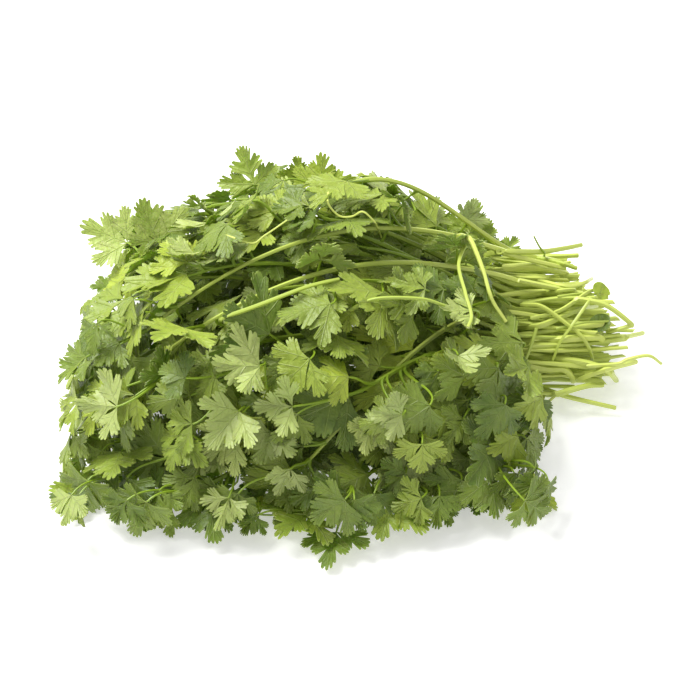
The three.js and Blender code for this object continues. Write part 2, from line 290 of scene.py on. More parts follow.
def stem_path(slot, attempt):
    """A stem's centreline: straight from its cut end to the grip, then one Bezier curve to its tip"""
    draw = draws_for(1, slot["number"], attempt)
    loose = 1 + attempt * RETRY["stem"]
    radius = draw(STEM_RADIUS)
    if "by_hand" in slot:
        points = [np.array(point, float) for point in slot["by_hand"]]
        return {"radius": radius, "cut": points[0], "curve": points[1:]}
    cut, grip = straight_run(slot, draw, loose, radius)
    upright = slot["around"] / (math.pi / 2)
    turn = math.radians((1 - upright) * slot["fan"] + draw(TURN_UNEVEN) * loose)
    low = math.cos(slot["around"]) ** 2
    reach = (slot["reach"] + (1 - slot["reach"]) * low + draw(REACH_UNEVEN)) * heap_reach(turn)
    tip = np.array([GRIP[0] - reach * math.cos(turn), GRIP[1] + reach * math.sin(turn), 0.0])
    in_dome = heap_height(tip[0], tip[1]) * draw(TIP_DEPTH)
    over = TIP_OVER_TABLE["inside"] + TIP_OVER_TABLE["outside"] * slot["share"]
    tip[2] = max(in_dome, over + draw(TIP_OVER_TABLE["more"]))
    span = np.linalg.norm(tip - grip)
    leaving = unit(grip - cut)
    first = grip + leaving * span * (draw(PULL["leaving"]) + PULL["low_stems"] * low)
    first[2] += (tip[2] - grip[2]) * PULL["lift"]
    arriving = unit(np.array([tip[0] - grip[0], tip[1] - grip[1], 0.0]))
    normal = heap_normal(tip)
    arriving = unit(arriving - normal * (arriving @ normal))
    last = tip - arriving * span * draw(PULL["arriving"])
    last[2] = min(last[2], HEAP_HEIGHT)
    return {"radius": radius, "cut": cut, "curve": [grip, first, last, tip]}


def fractions_back(curve, places):
    """Where on the curve each of these distances back from its tip lies"""
    found = []
    length = 0.0
    previous = bezier(curve, 1)
    for i in range(CURVE_SAMPLES, 0, -1):
        t = i / CURVE_SAMPLES
        point = bezier(curve, t)
        length += np.linalg.norm(point - previous)
        previous = point
        while len(found) < len(places) and length >= places[len(found)]:
            found.append(t)
    return found


def root_of(curve, number):
    """Where a leaf of the solids is rooted: a little past its own ring of the stem"""
    leafy = fractions_back(curve, LEAF_PLACES)[::-1]
    rings = [i / LOWER_STEPS * leafy[0] for i in range(LOWER_STEPS)] + leafy
    own = len(rings) - 1 - number
    at = bezier(curve, rings[own])
    following = bezier(curve, rings[own + 1 if number else own - 1])
    return at + unit(following - at) * (ROOT_PAST_RING if number else ROOT_SUNK)


def leaf_pose(path, draw, attempt, t, side, root):
    """Where a leaf grows from, which way it points and how it bends"""
    wild = 1 + attempt * RETRY["leaf"]
    along = slope(path["curve"], t)
    normal = heap_normal(bezier(path["curve"], t))
    normal = unit(normal - along * (normal @ along))
    normal = turned(normal, along, math.radians(draw(NORMAL_TURN)) * wild)
    beside = np.cross(normal, along)
    spread = math.radians(side * draw(SIDE_SPREAD) if side else draw(END_SPREAD))
    axis = along * math.cos(spread) + beside * math.sin(spread)
    across = np.cross(normal, axis)
    lift = (draw(SIDE_LIFT) if side else 0) - attempt * RETRY["lift"]
    stalk = turned(axis, across, math.radians(lift))
    wanted = draw(DROOP) * wild - attempt * RETRY["droop"]
    droop = math.radians(min(max(wanted, lift - ELBOW), lift + ELBOW))
    axis = turned(axis, across, droop)
    normal = turned(normal, across, droop)
    roll = math.radians(draw(ROLL)) * wild
    across = turned(across, axis, roll)
    normal = turned(normal, axis, roll)
    length = draw(LEAF_LENGTH) * (1 - attempt * RETRY["smaller"])
    reach = draw(SIDE_STALK) + attempt * RETRY["longer"] if side else END_STALK
    return {
        "root": root,
        "stalk": stalk,
        "heart": root + stalk * reach,
        "axis": axis,
        "across": across,
        "normal": normal,
        "length": length,
        "bend": draw(BEND),
        "fold": draw(FOLD),
        "wing": draw(WING),
    }


def node_points(node):
    """A CAD node's vertices in millimetres, before the bunch was moved to its middle"""
    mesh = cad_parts[node].data
    co = np.empty(len(mesh.vertices) * 3)
    mesh.vertices.foreach_get("co", co)
    return co.reshape(-1, 3) * 1000 + MIDDLE


def has_point(points, point):
    """Whether a solid has a corner here"""
    return np.min(np.sum((points - point) ** 2, axis=1)) < SAME_PLACE**2


def all_slots():
    """Each stem's place in the bunch: the loose ones as listed, the others in rings"""
    slots = [{"number": i, "by_hand": curve, "share": 1.0} for i, curve in enumerate(LOOSE)]
    for ring in RINGS:
        for i in range(ring["stems"]):
            around = (i + 0.5) / ring["stems"] * math.pi
            slots.append({**ring, "number": len(slots), "around": around})
    return slots


def grown_leaves(path, number, points):
    """The poses of the leaves that this stem's solid carries"""
    poses = []
    fractions = fractions_back(path["curve"], LEAF_PLACES)
    for place, t in enumerate(fractions):
        root = root_of(path["curve"], place)
        for attempt in range(TRIES):
            side = ((place + number + attempt) % 2) * 2 - 1 if place else 0
            pose = leaf_pose(path, draws_for(2, number, place, attempt), attempt, t, side, root)
            tip_height = -pose["bend"] * pose["length"]
            tip = pose["heart"] + pose["axis"] * pose["length"] + pose["normal"] * tip_height
            if has_point(points, tip + pose["normal"] * LEAF_SOLID / 2):
                poses.append(pose)
                break
    return poses


# The grown stems, each with its path and the leaves of its solid
stems = []
for slot in all_slots():
    node = f"leafy_stem_{slot['number'] + 1:02d}"
    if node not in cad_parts:
        continue
    points = node_points(node)
    for attempt in range(TRIES):
        path = stem_path(slot, attempt)
        if has_point(points, path["cut"]):
            break
    leaves = grown_leaves(path, slot["number"], points)
    stems.append({"node": node, "slot": slot, "path": path, "leaves": leaves})

# Leaf blades
# Each blade has three wedge-based leaflets on one stalk. A leaflet opens into three lobes with
# rounded finger-like teeth. It is thin fresh leaf, pleated along its veins and a little wavy.
# Widths and reaches are shares of the blade's length, and angles are in degrees from a leaflet's rib.
LEAFLET_ANGLES = (-LEAFLET_TURN, 0, LEAFLET_TURN)
FORK = 0.36
WEDGE = ((0.022, 0.07), (0.075, 0.19), (0.135, 0.29))
WEDGE_BROAD = (0.6, 1.75)
SIDE_LEAFLET = (0.78, 1.0)
SIDE_TURN = (-7, 7)
LOBES = (
    {"middle": -54, "half": 22, "reach": 0.49, "teeth": (3.5, 5.2), "lean": -0.06},
    {"middle": 0, "half": 23, "reach": 0.64, "teeth": (4.4, 6.4), "lean": 0},
    {"middle": 54, "half": 22, "reach": 0.49, "teeth": (3.5, 5.2), "lean": 0.06},
)
SINUS = (0.18, 0.34)
SINUS_TURN = (-2, 2)
LOBE_UNEVEN = (-0.05, 0.03)
LOBE_TURN = (-3, 3)
LOBE_RIB = 53
LOBE_HALF = 27
LOBE_LAST = 80
TOOTH_DEPTH = (0.05, 0.13)
TOOTH_UNEVEN = (-0.015, 0.015)
LOBE_ROUND = 0.17
# A leaf on top has rounded teeth and a ring of points inside its edge. One deep in the heap has blunt
# teeth and no such ring.
FINE = {"rings": (0.52, 1.0), "tooth": ((-0.3, 0.022), (0.0, 0.0), (0.3, 0.022))}
LOW = {"rings": (1.0,), "tooth": ((-0.24, 0.0), (0.24, 0.0))}
BLADE_TOP = 0.2
BLADE_UNDER = -0.15
TABLE_PRESSED = 0.15
PLEAT = (0.04, 0.13)
WAVE = (0.4, 1.8)
WAVES = (5, 9)
CURL_DOWN = (-0.8, 2.2)
CURL_FROM = 0.7
CURL_STEEP = 12
UNDER_MIDDLE = (0.5, 0.9)
UNDER_BY = 2.5
TINT_POWER = (0.5, 2.2)
SHEET_EDGE = ((-27, 0.7), (-12, 0.93), (0, 1.0), (12, 0.93), (27, 0.7))


def leaflet_outline(draw, detail):
    """Points around one leaflet's edge, clockwise from its base, as shares of the blade's length"""
    broad = draw(WEDGE_BROAD)
    wedge = [(x * broad, y) for x, y in WEDGE]
    points = [(-x, y) for x, y in wedge]
    for number, lobe in enumerate(LOBES):
        reach = lobe["reach"] + draw(LOBE_UNEVEN)
        middle = lobe["middle"] + draw(LOBE_TURN)
        teeth = int(draw(lobe["teeth"]))
        step = 2 * lobe["half"] / teeth
        for tooth in range(teeth):
            at = middle - lobe["half"] + step * (tooth + 0.5)
            off = (at - middle) / lobe["half"]
            high = reach * (1 - LOBE_ROUND * off**2 - lobe["lean"] * off) + draw(TOOTH_UNEVEN)
            low = high - draw(TOOTH_DEPTH)
            around = [(offset, high - lower) for offset, lower in detail["tooth"]]
            if tooth < teeth - 1:
                around.append((0.5, low))
            for offset, radius in around:
                angle = math.radians(at + offset * step)
                points.append((radius * math.sin(angle), FORK + radius * math.cos(angle)))
        if number < len(LOBES) - 1:
            between = (lobe["middle"] + LOBES[number + 1]["middle"]) / 2
            angle = math.radians(between + draw(SINUS_TURN))
            depth = draw(SINUS)
            points.append((depth * math.sin(angle), FORK + depth * math.cos(angle)))
    points += wedge[::-1]
    return np.array([(0.0, 0.0)] + points)


def blade_height(pose, across, along, leaflet, look):
    """How far points of a leaflet lie above the plane of the blade's heart"""
    turn = math.radians(leaflet)
    distance = np.hypot(across, along)
    sideways = np.abs(across * math.cos(turn) + along * math.sin(turn))
    height = pose["fold"] * np.abs(across) - pose["wing"] * sideways
    height -= pose["bend"] * distance**2 / pose["length"]
    share = distance / pose["length"]
    past_fork = along - FORK * pose["length"]
    fork = np.abs(np.degrees(np.arctan2(across, past_fork)))
    rib = np.where(fork < LOBE_HALF, 0, LOBE_RIB)
    lobe = np.abs(np.clip(fork, 0, LOBE_LAST) - rib) / LOBE_HALF
    height += look["pleat"] * np.hypot(across, past_fork) * lobe
    angle = np.arctan2(across, along) + turn
    height += look["wave"] * share**2 * np.sin(angle * look["waves"] + look["phase"])
    height -= look["curl"] * np.clip(share - CURL_FROM, 0, 1) ** 2 * CURL_STEEP
    if leaflet:
        height -= look["under_middle"] * np.clip(share * UNDER_BY, 0, 1)
    return height


def blade_look(draw):
    """What makes one blade's surface its own"""
    return {
        "pleat": draw(PLEAT),
        "wave": draw(WAVE),
        "waves": draw(WAVES),
        "phase": draw((0, 2 * math.pi)),
        "curl": draw(CURL_DOWN),
        "under_middle": draw(UNDER_MIDDLE),
        "tint": draw((0, 1)) ** draw(TINT_POWER),
        "age": draw((0, 1)),
    }


def leaf_points(pose, across, along, leaflet, height):
    """Points of a leaflet in space, from their place in its own plane"""
    turn = math.radians(leaflet)
    axis = pose["axis"] * math.cos(turn) + pose["across"] * math.sin(turn)
    side = pose["across"] * math.cos(turn) - pose["axis"] * math.sin(turn)
    flat = axis * along[:, None] + side * across[:, None]
    return pose["heart"] + flat + pose["normal"] * height[:, None]


def shell_faces(count, rings):
    """Triangles of a closed thin leaf: its top from the middle out in rings, its underside and edge"""
    first = np.arange(count) + 1
    following = np.roll(first, -1)
    faces = [np.stack([np.zeros_like(first), following, first], axis=1)]
    for ring in range(rings - 1):
        inner, outer = ring * count, (ring + 1) * count
        faces.append(np.stack([first + inner, following + inner, first + outer], axis=1))
        faces.append(np.stack([following + inner, following + outer, first + outer], axis=1))
    top = np.concatenate(faces)
    total = 1 + rings * count
    a, b = first + (rings - 1) * count, following + (rings - 1) * count
    wall = [np.stack([a, b, b + total], axis=1), np.stack([a, b + total, a + total], axis=1)]
    return np.concatenate([top, top[:, ::-1] + total, *wall])


def leaflet_shell(pose, draw, leaflet, look, detail):
    """One leaflet as a closed thin shell: points, triangles, leaf map and which side a point is on"""
    size = pose["length"] * (draw(SIDE_LEAFLET) if leaflet else 1)
    outline = leaflet_outline(draw, detail) * size
    fork = np.array([0.0, FORK * size])
    flat = np.concatenate([[fork]] + [fork + (outline - fork) * share for share in detail["rings"]])
    across, along = flat[:, 0], flat[:, 1]
    height = blade_height(pose, across, along, leaflet, look)
    top = leaf_points(pose, across, along, leaflet, height + BLADE_TOP)
    under = leaf_points(pose, across, along, leaflet, height + BLADE_UNDER)
    top[:, 2] = np.maximum(top[:, 2], TABLE_PRESSED + BLADE_TOP - BLADE_UNDER)
    under[:, 2] = np.maximum(under[:, 2], TABLE_PRESSED)
    faces = shell_faces(len(outline), len(detail["rings"]))
    leaf_map = np.tile(flat / size, (2, 1))
    underside = np.repeat([0.0, 1.0], len(flat))
    return np.concatenate([top, under]), faces, leaf_map, underside


def blade_sheet(pose):
    """A blade's plain sheet, to tell whether two blades meet"""
    points, faces = [pose["heart"]], []
    for leaflet in LEAFLET_ANGLES:
        turn = math.radians(leaflet)
        for offset, share in SHEET_EDGE:
            angle = turn + math.radians(offset)
            distance = share * pose["length"]
            sideways = distance * math.sin(angle)
            from_rib = abs(distance * math.sin(math.radians(offset)))
            height = pose["fold"] * from_rib - pose["wing"] * abs(sideways)
            height -= pose["bend"] * distance**2 / pose["length"]
            flat = pose["axis"] * distance * math.cos(angle) + pose["across"] * sideways
            points.append(pose["heart"] + flat + pose["normal"] * height)
        last = len(points) - 1
        faces += [(0, last - i, last - i - 1) for i in range(4)]
    return np.array(points), faces


# Stems and leaf stalks
# Juicy ribbed stems, round with fine lengthwise ridges, thinner towards the tip, a little swollen
# where a leaf stalk's sheath clasps them. They were cut across with a knife and bruise pale there.
STEM_AROUND = 10
STALK_AROUND = 6
STEM_STEP = 3.0
SPAN_PARTS = 30
RIDGE = 0.05
STALK_RADIUS = (0.62, 0.85)
STALK_FOOT = (1.5, 1.2)
STALK_END = 0.42
STALK_GREEN = 1.0
STALK_STEP = 2.5
STALK_BOW = 0.33
SHEATH = 0.32
SHEATH_LENGTH = 5.0
# The bare part in the bundle sways a little, and each stem is thinner there by a share of its own.
BARE = 95.0
BARE_FULL = 1.3
BARE_WAVE = (9, 22)
BARE_PHASE = (0, 6.3)
BARE_SWAY = (0.2, 1.3)
BARE_THINNER = (0.1, 0.5)
SHEATH_PLACE = (-10, 60)
SHEATH_LONG = (8, 16)
SHEATH_SWELL = (0.0, 0.7)
CUT_SLANT = (-1.3, 1.3)
OFF_TABLE = 1.02
SMOOTH_UNDER = 50
ON_LEAF, ON_STEM = 0, 1
# The front view is the one that the camera has. Raised means up in that view, from its middle. The
# cut ends form a ragged line in it: pairs of raised and how far along the bunch a stem may end there.
FRONT_LOOK = np.array([0.0, math.sin(rise), math.cos(rise)])
AIM_HEIGHT = 20.6
END_LINE = (
    (-34, 98), (-26, 106), (-19, 128), (-9, 143), (6, 145), (14, 138), (29, 124), (40, 116),
    (52, 118),
)
END_UNEVEN = (-12, 3)
END_SHORTEST = 0.25


def tube(points, radii, around, ridge=0.0, slant=0.0):
    """A closed tube along points: its points, triangles and its map, around and along in mm"""
    tangents = np.gradient(points, axis=0)
    tangents /= np.linalg.norm(tangents, axis=1)[:, None]
    side = np.cross(tangents[0], [0.0, 0.0, 1.0])
    if np.linalg.norm(side) < 0.1:
        side = np.cross(tangents[0], [0.0, 1.0, 0.0])
    side = unit(side)
    turn = np.arange(around) / around * 2 * math.pi
    swell = 1 + ridge * np.where(np.arange(around) % 2, 1, -1)
    rings = []
    for point, tangent, radius in zip(points, tangents, radii):
        side = unit(side - tangent * (side @ tangent))
        other = np.cross(tangent, side)
        ring = np.cos(turn)[:, None] * side + np.sin(turn)[:, None] * other
        rings.append(point + ring * (radius * swell)[:, None])
    rings[0] += tangents[0] * (slant * radii[0] * np.cos(turn + 1))[:, None]
    count = len(points)
    body = np.concatenate(rings)
    ring_start = (np.arange(count - 1) * around)[:, None]
    a = (ring_start + np.arange(around)).ravel()
    b = (ring_start + (np.arange(around) + 1) % around).ravel()
    faces = [
        np.stack([a, b, b + around], axis=1),
        np.stack([a, b + around, a + around], axis=1),
    ]
    start, end = count * around, count * around + 1
    first = np.arange(around)
    following = (first + 1) % around
    last = (count - 1) * around
    faces.append(np.stack([np.full(around, start), following, first], axis=1))
    faces.append(np.stack([np.full(around, end), last + first, last + following], axis=1))
    length = np.concatenate([[0], np.cumsum(np.linalg.norm(np.diff(points, axis=0), axis=1))])
    stem_map = np.stack([np.tile(turn, count), np.repeat(length, around)], axis=1)
    stem_map = np.concatenate([stem_map, [[0, 0], [0, length[-1]]]])
    ends = np.concatenate([body, [points[0], points[-1]]])
    return ends, np.concatenate(faces), stem_map


def raised_in_view(point):
    """How far up a point is in the front view"""
    return point[1] * FRONT_LOOK[1] + (point[2] - AIM_HEIGHT) * FRONT_LOOK[2]


def stem_radius(path, t):
    """How thick a stem is at a point of its curve"""
    return path["radius"] * (1 - (1 - TIP_SHARE) * t)


def stem_line(path, nodes, draw=None):
    """Points along a stem with its radius at each, swollen at the sheaths

    With draws it is cut back to the ragged end line and sways where it is bare.
    """
    cut, grip = path["cut"], path["curve"][0]
    if draw:
        most = np.interp(raised_in_view(cut), *zip(*END_LINE)) + draw(END_UNEVEN)
        share = (most - GRIP[0]) / (cut[0] - GRIP[0])
        cut = grip + (cut - grip) * min(max(share, END_SHORTEST), 1)
    run = np.linalg.norm(grip - cut)
    steps = max(int(run / STEM_STEP), 3)
    points = [cut + (grip - cut) * i / steps for i in range(steps)]
    radii = [path["radius"]] * steps
    on_curve = [bezier(path["curve"], i / SPAN_PARTS) for i in range(SPAN_PARTS + 1)]
    span = sum(np.linalg.norm(b - a) for a, b in zip(on_curve, on_curve[1:]))
    steps = int(span / STEM_STEP)
    for i in range(steps + 1):
        points.append(bezier(path["curve"], i / steps))
        radii.append(stem_radius(path, i / steps))
    points, radii = np.array(points), np.array(radii)
    if draw:
        length = np.arange(len(points)) * STEM_STEP
        bare = np.clip(BARE_FULL - length / BARE, 0, 1)
        for column in (1, 2):
            phase, wave = draw(BARE_PHASE), draw(BARE_WAVE)
            points[:, column] += draw(BARE_SWAY) * bare * np.sin(length / wave + phase)
        radii *= 1 - bare * draw(BARE_THINNER)
        sheath, long = draw(SHEATH_PLACE), draw(SHEATH_LONG)
        radii *= 1 + draw(SHEATH_SWELL) * np.exp(-(((length - sheath) / long) ** 2))
        points[:, 2] = np.maximum(points[:, 2], radii * OFF_TABLE)
    for node in nodes:
        away = np.linalg.norm(points - node, axis=1) / SHEATH_LENGTH
        radii = radii * (1 + SHEATH * np.exp(-(away**2)))
    return points, radii


def stalk_line(root, leaving, heart, arriving):
    """A leaf stalk's centreline: away from the stem and smoothly into the blade"""
    reach = np.linalg.norm(heart - root)
    first = root + leaving * reach * STALK_BOW
    curve = [root, first, heart - arriving * reach * STALK_BOW, heart]
    steps = max(int(reach / STALK_STEP), 4)
    return np.array([bezier(curve, i / steps) for i in range(steps + 1)])


class Piece:
    """Gathers the parts of one stem or stalk, in millimetres, until they are made one mesh"""

    def __init__(self):
        self.points = []
        self.faces = []
        self.maps = []
        self.finish = []
        self.values = []
        self.total = 0

    def add(self, points, faces, piece_map, finish, values):
        """Takes in one closed shape, with the number of its material and its points' values"""
        self.points.append(points)
        self.faces.append(faces + self.total)
        self.maps.append(piece_map)
        self.finish.append(np.full(len(faces), finish))
        self.values.append(values)
        self.total += len(points)

    def make(self, name, materials):
        """One smooth mesh of all the parts, in metres and in its place"""
        points = (np.concatenate(self.points) - MIDDLE) / 1000
        faces = np.concatenate(self.faces)
        mesh = bpy.data.meshes.new(name)
        mesh.vertices.add(len(points))
        mesh.vertices.foreach_set("co", points.ravel())
        mesh.loops.add(faces.size)
        mesh.loops.foreach_set("vertex_index", faces.ravel())
        mesh.polygons.add(len(faces))
        mesh.polygons.foreach_set("loop_start", np.arange(len(faces)) * 3)
        mesh.polygons.foreach_set("use_smooth", np.ones(len(faces), bool))
        mesh.polygons.foreach_set("material_index", np.concatenate(self.finish))
        layer = mesh.uv_layers.new(name="along")
        layer.data.foreach_set("uv", np.concatenate(self.maps)[faces.ravel()].ravel())
        values = np.concatenate(self.values)
        for column, attribute in enumerate(("tint", "age", "pale")):
            data = mesh.attributes.new(attribute, "FLOAT", "POINT")
            data.data.foreach_set("value", values[:, column])
        mesh.update(calc_edges=True)
        mesh.validate()
        for material in materials:
            mesh.materials.append(material)
        piece = bpy.data.objects.new(name, mesh)
        scene.collection.objects.link(piece)
        only(piece)
        bpy.ops.object.shade_smooth_by_angle(angle=math.radians(SMOOTH_UNDER))
        return piece


def marks(points, tint, age, pale=0.0):
    """What points carry for their material: light or dark, young or green, and underside or cut"""
    values = np.zeros((len(points), 3))
    for column, value in enumerate((tint, age, pale)):
        values[:, column] = value
    return values


def add_blade(piece, pose, draw, look, detail):
    """Adds the three leaflets of a blade"""
    for leaflet in LEAFLET_ANGLES:
        if leaflet:
            leaflet += draw(SIDE_TURN)
        points, faces, leaf_map, underside = leaflet_shell(pose, draw, leaflet, look, detail)
        values = marks(points, look["tint"], look["age"], underside)
        piece.add(points, faces, leaf_map, ON_LEAF, values)


def add_stalk(piece, points, draw):
    """Adds a leaf stalk, thickest where it leaves the stem"""
    thick = draw(STALK_RADIUS)
    share = np.linspace(0, 1, len(points))
    radii = thick + (STALK_END - thick) * share
    radii[:2] *= STALK_FOOT
    body, faces, stem_map = tube(points, radii, STALK_AROUND)
    piece.add(body, faces, stem_map, ON_STEM, marks(body, draw((0, 1)), STALK_GREEN))


# Fresh leaf
# Soft green with a faint waxy sheen, paler veins that run out to each tooth, lighter yellow-green
# on young leaves and a matt grey-green on the underside.
LEAF_DEEP = "#40590E"
LEAF_FRESH = "#93A43A"
LEAF_YOUNG = "#AFC03A"
LEAF_UNDER = "#A3B068"
LEAF_VEIN = "#AFBF70"
# Patterns for each metre: blotches of about 11 mm, crinkles of 3 mm and grain of about 1 mm, which is
# coarser than real so that it shows.
BLOTCH_SCALE = 90.0
CRINKLE_SCALE = 330.0
GRAIN_SCALE = 900.0
YOUNG_FROM = 0.7
YOUNG_STEEP = 2.6
BLOTCH_STEEP = 0.9
BLOTCH_LIGHTER = 0.2
UNDER_SHARE = 0.75
VEIN_SHARE = 0.28
VEIN_SUNK = -0.35
GRAIN_RELIEF = 0.12
LEAF_ROUGH = (0.42, 0.18)
LEAF_BUMP = 0.0011
# Each vein's angle to the rib, where it starts on the rib and how wide it is. The rib comes first.
VEINS = (
    (0, 0.0, 0.016),
    (-53, FORK * 0.8, 0.014),
    (53, FORK * 0.8, 0.014),
    (-19, FORK * 1.3, 0.009),
    (19, FORK * 1.3, 0.009),
    (-30, FORK * 1.9, 0.008),
    (30, FORK * 1.9, 0.008),
)

blade, tree, shader = new_material("fresh coriander leaf")
tint = add_node(tree, "ShaderNodeAttribute", {"attribute_name": "tint"}).outputs["Fac"]
age = add_node(tree, "ShaderNodeAttribute", {"attribute_name": "age"}).outputs["Fac"]
under = add_node(tree, "ShaderNodeAttribute", {"attribute_name": "pale"}).outputs["Fac"]
place = add_node(tree, "ShaderNodeTexCoord").outputs["Object"]
leaf_map = add_node(tree, "ShaderNodeUVMap", {"uv_map": "along"}).outputs["UV"]
parts = add_node(tree, "ShaderNodeSeparateXYZ", inputs={"Vector": leaf_map})
sweep, reach = parts.outputs["X"], parts.outputs["Y"]


MATH = "ShaderNodeMath"
ADD = {"operation": "ADD"}
SUBTRACT = {"operation": "SUBTRACT"}
MULTIPLY = {"operation": "MULTIPLY"}
DIVIDE = {"operation": "DIVIDE"}
ABSOLUTE = {"operation": "ABSOLUTE"}
LARGER = {"operation": "MAXIMUM"}
ABOVE = {"operation": "GREATER_THAN"}
CLAMPED = {"use_clamp": True}


def layered(tree, base, layers):
    """A base colour with others laid over it in turn, each by its own share"""
    colour = linear(base)
    for share, over in layers:
        inputs = {0: share, 6: colour, 7: linear(over)}
        colour = add_node(tree, "ShaderNodeMix", {"data_type": "RGBA"}, inputs).outputs[2]
    return colour


def vein(angle, start, width):
    """A vein from the fork or the base of a leaflet, at an angle to its axis"""
    turn = math.radians(angle)
    raised = add_node(tree, MATH, SUBTRACT, (reach, start))
    swept_along = add_node(tree, MATH, MULTIPLY, (sweep, math.sin(turn)))
    raised_along = add_node(tree, MATH, MULTIPLY, (raised, math.cos(turn)))
    along = add_node(tree, MATH, ADD, (swept_along, raised_along))
    swept_beside = add_node(tree, MATH, MULTIPLY, (sweep, math.cos(turn)))
    raised_beside = add_node(tree, MATH, MULTIPLY, (raised, math.sin(turn)))
    beside = add_node(tree, MATH, SUBTRACT, (swept_beside, raised_beside))
    beside = add_node(tree, MATH, ABSOLUTE, (beside,))
    beside = add_node(tree, MATH, DIVIDE, (beside, width))
    line = add_node(tree, MATH, SUBTRACT | CLAMPED, (1.0, beside))
    ahead = add_node(tree, MATH, ABOVE, (along, 0.0))
    return add_node(tree, MATH, MULTIPLY, (line, ahead))


veins = vein(*VEINS[0])
for angle, start, width in VEINS[1:]:
    veins = add_node(tree, MATH, LARGER, (veins, vein(angle, start, width)))

blotch = add_node(
    tree, "ShaderNodeTexNoise",
    inputs={"Vector": place, "Scale": BLOTCH_SCALE, "Detail": 4.0, "Roughness": 0.6},
).outputs["Fac"]
grain = add_node(
    tree, "ShaderNodeTexNoise", inputs={"Vector": place, "Scale": GRAIN_SCALE, "Detail": 2.0}
).outputs["Fac"]
older = add_node(tree, MATH, SUBTRACT | CLAMPED, (age, YOUNG_FROM))
young = add_node(tree, MATH, MULTIPLY | CLAMPED, (older, YOUNG_STEEP))
uneven = add_node(tree, MATH, SUBTRACT, (blotch, 0.5))
spread = add_node(tree, MATH, MULTIPLY, (uneven, BLOTCH_STEEP))
lighter = add_node(tree, MATH, ADD | CLAMPED, (spread, BLOTCH_LIGHTER))
matt = add_node(tree, MATH, MULTIPLY, (under, UNDER_SHARE))
pale = add_node(tree, MATH, MULTIPLY, (veins, VEIN_SHARE))
# The tint and age attributes carry random tone and youth. They also carry painted shade on deep leaves
# and painted light on crest leaves.
green = layered(tree, LEAF_DEEP, (
    (tint, LEAF_FRESH),
    (young, LEAF_YOUNG),
    (lighter, LEAF_FRESH),
    (matt, LEAF_UNDER),
    (pale, LEAF_VEIN),
))
tree.links.new(green, shader.inputs["Base Color"])
rough = add_node(tree, MATH, MULTIPLY, (grain, LEAF_ROUGH[1]))
rough = add_node(tree, MATH, ADD, (rough, LEAF_ROUGH[0]))
tree.links.new(rough.outputs[0], shader.inputs["Roughness"])
shader.inputs["Specular IOR Level"].default_value = 0.5
shader.inputs["Subsurface Weight"].default_value = 0.25
shader.inputs["Subsurface Radius"].default_value = (0.7, 1.0, 0.25)
shader.inputs["Subsurface Scale"].default_value = 0.002
crinkle = add_node(
    tree, "ShaderNodeTexNoise", inputs={"Vector": place, "Scale": CRINKLE_SCALE, "Detail": 2.0}
).outputs["Fac"]
sunk = add_node(tree, MATH, MULTIPLY, (veins, VEIN_SUNK))
relief = add_node(tree, MATH, MULTIPLY, (grain, GRAIN_RELIEF))
relief = add_node(tree, MATH, ADD, (relief, sunk))
relief = add_node(tree, MATH, ADD, (relief, crinkle))
bump = add_node(
    tree, "ShaderNodeBump", inputs={"Height": relief, "Strength": 0.8, "Distance": LEAF_BUMP}
)
tree.links.new(bump.outputs["Normal"], shader.inputs["Normal"])

# Fresh stem
# Smooth juicy green skin over pale flesh, with fine lengthwise streaks. It is palest near the cut
# end and in the sheaths, and the cut face is moist and almost white.
STEM_GREEN = "#7E9C1A"
STEM_PALE = "#D3DD70"
STEM_LINE = "#BCCB57"
STEM_CUT = "#E4E3B4"
STREAKS = (2.2, 0.05, 1.0)
STREAK_FROM = 0.42
STREAK_STEEP = 2.6
STREAK_SHARE = 0.5
TINT_SHARE = 0.3
STEM_ROUGH = 0.38
STEM_BUMP = 0.0003

skin, tree, shader = new_material("fresh coriander stem")
tint = add_node(tree, "ShaderNodeAttribute", {"attribute_name": "tint"}).outputs["Fac"]
age = add_node(tree, "ShaderNodeAttribute", {"attribute_name": "age"}).outputs["Fac"]
cut_face = add_node(tree, "ShaderNodeAttribute", {"attribute_name": "pale"}).outputs["Fac"]
stem_map = add_node(tree, "ShaderNodeUVMap", {"uv_map": "along"}).outputs["UV"]
stretched = add_node(
    tree, "ShaderNodeMapping", inputs={"Vector": stem_map, "Scale": STREAKS}
).outputs["Vector"]
streaks = add_node(
    tree, "ShaderNodeTexNoise", inputs={"Vector": stretched, "Scale": 2.0, "Detail": 3.0}
).outputs["Fac"]
streaked = add_node(tree, MATH, SUBTRACT, (streaks, STREAK_FROM))
streaked = add_node(tree, MATH, MULTIPLY | CLAMPED, (streaked, STREAK_STEEP))
streaked = add_node(tree, MATH, MULTIPLY, (streaked, STREAK_SHARE))
tinted = add_node(tree, MATH, MULTIPLY, (tint, TINT_SHARE))
green = layered(tree, STEM_PALE, (
    (age, STEM_GREEN),
    (streaked, STEM_LINE),
    (tinted, STEM_GREEN),
    (cut_face, STEM_CUT),
))
tree.links.new(green, shader.inputs["Base Color"])
shader.inputs["Roughness"].default_value = STEM_ROUGH
bump = add_node(
    tree, "ShaderNodeBump", inputs={"Height": streaks, "Strength": 0.3, "Distance": STEM_BUMP}
)
tree.links.new(bump.outputs["Normal"], shader.inputs["Normal"])


# The leaves between
# The heap is closed by many more leaves of the same kind. Each is put over a bare spot of the heap,
# on a stalk from a stem nearby, and is left out when it would cut another leaf or a stem.
SPOTS = 24000
SPOT_DEPTH = (0.5, 1.1)
SQUARE_TOP = 2.4
SQUARE_FOOT = 4.5
SPOT_MIDDLE = np.array([-22.0, -4.0])
SPOT_HALF = np.array([120.0, 104.0])
LOW_LEAVES = 0.12
LOW_HEIGHT = (3, 26)
LOW_OUT = (0, 0.9)
STEEP_SHARE = 0.6
STEEP_UP = (0.02, 1.0)
STEEP_POWER = 1.25
TOP_POWER = 1.2
DEPTH_IN = 0.45
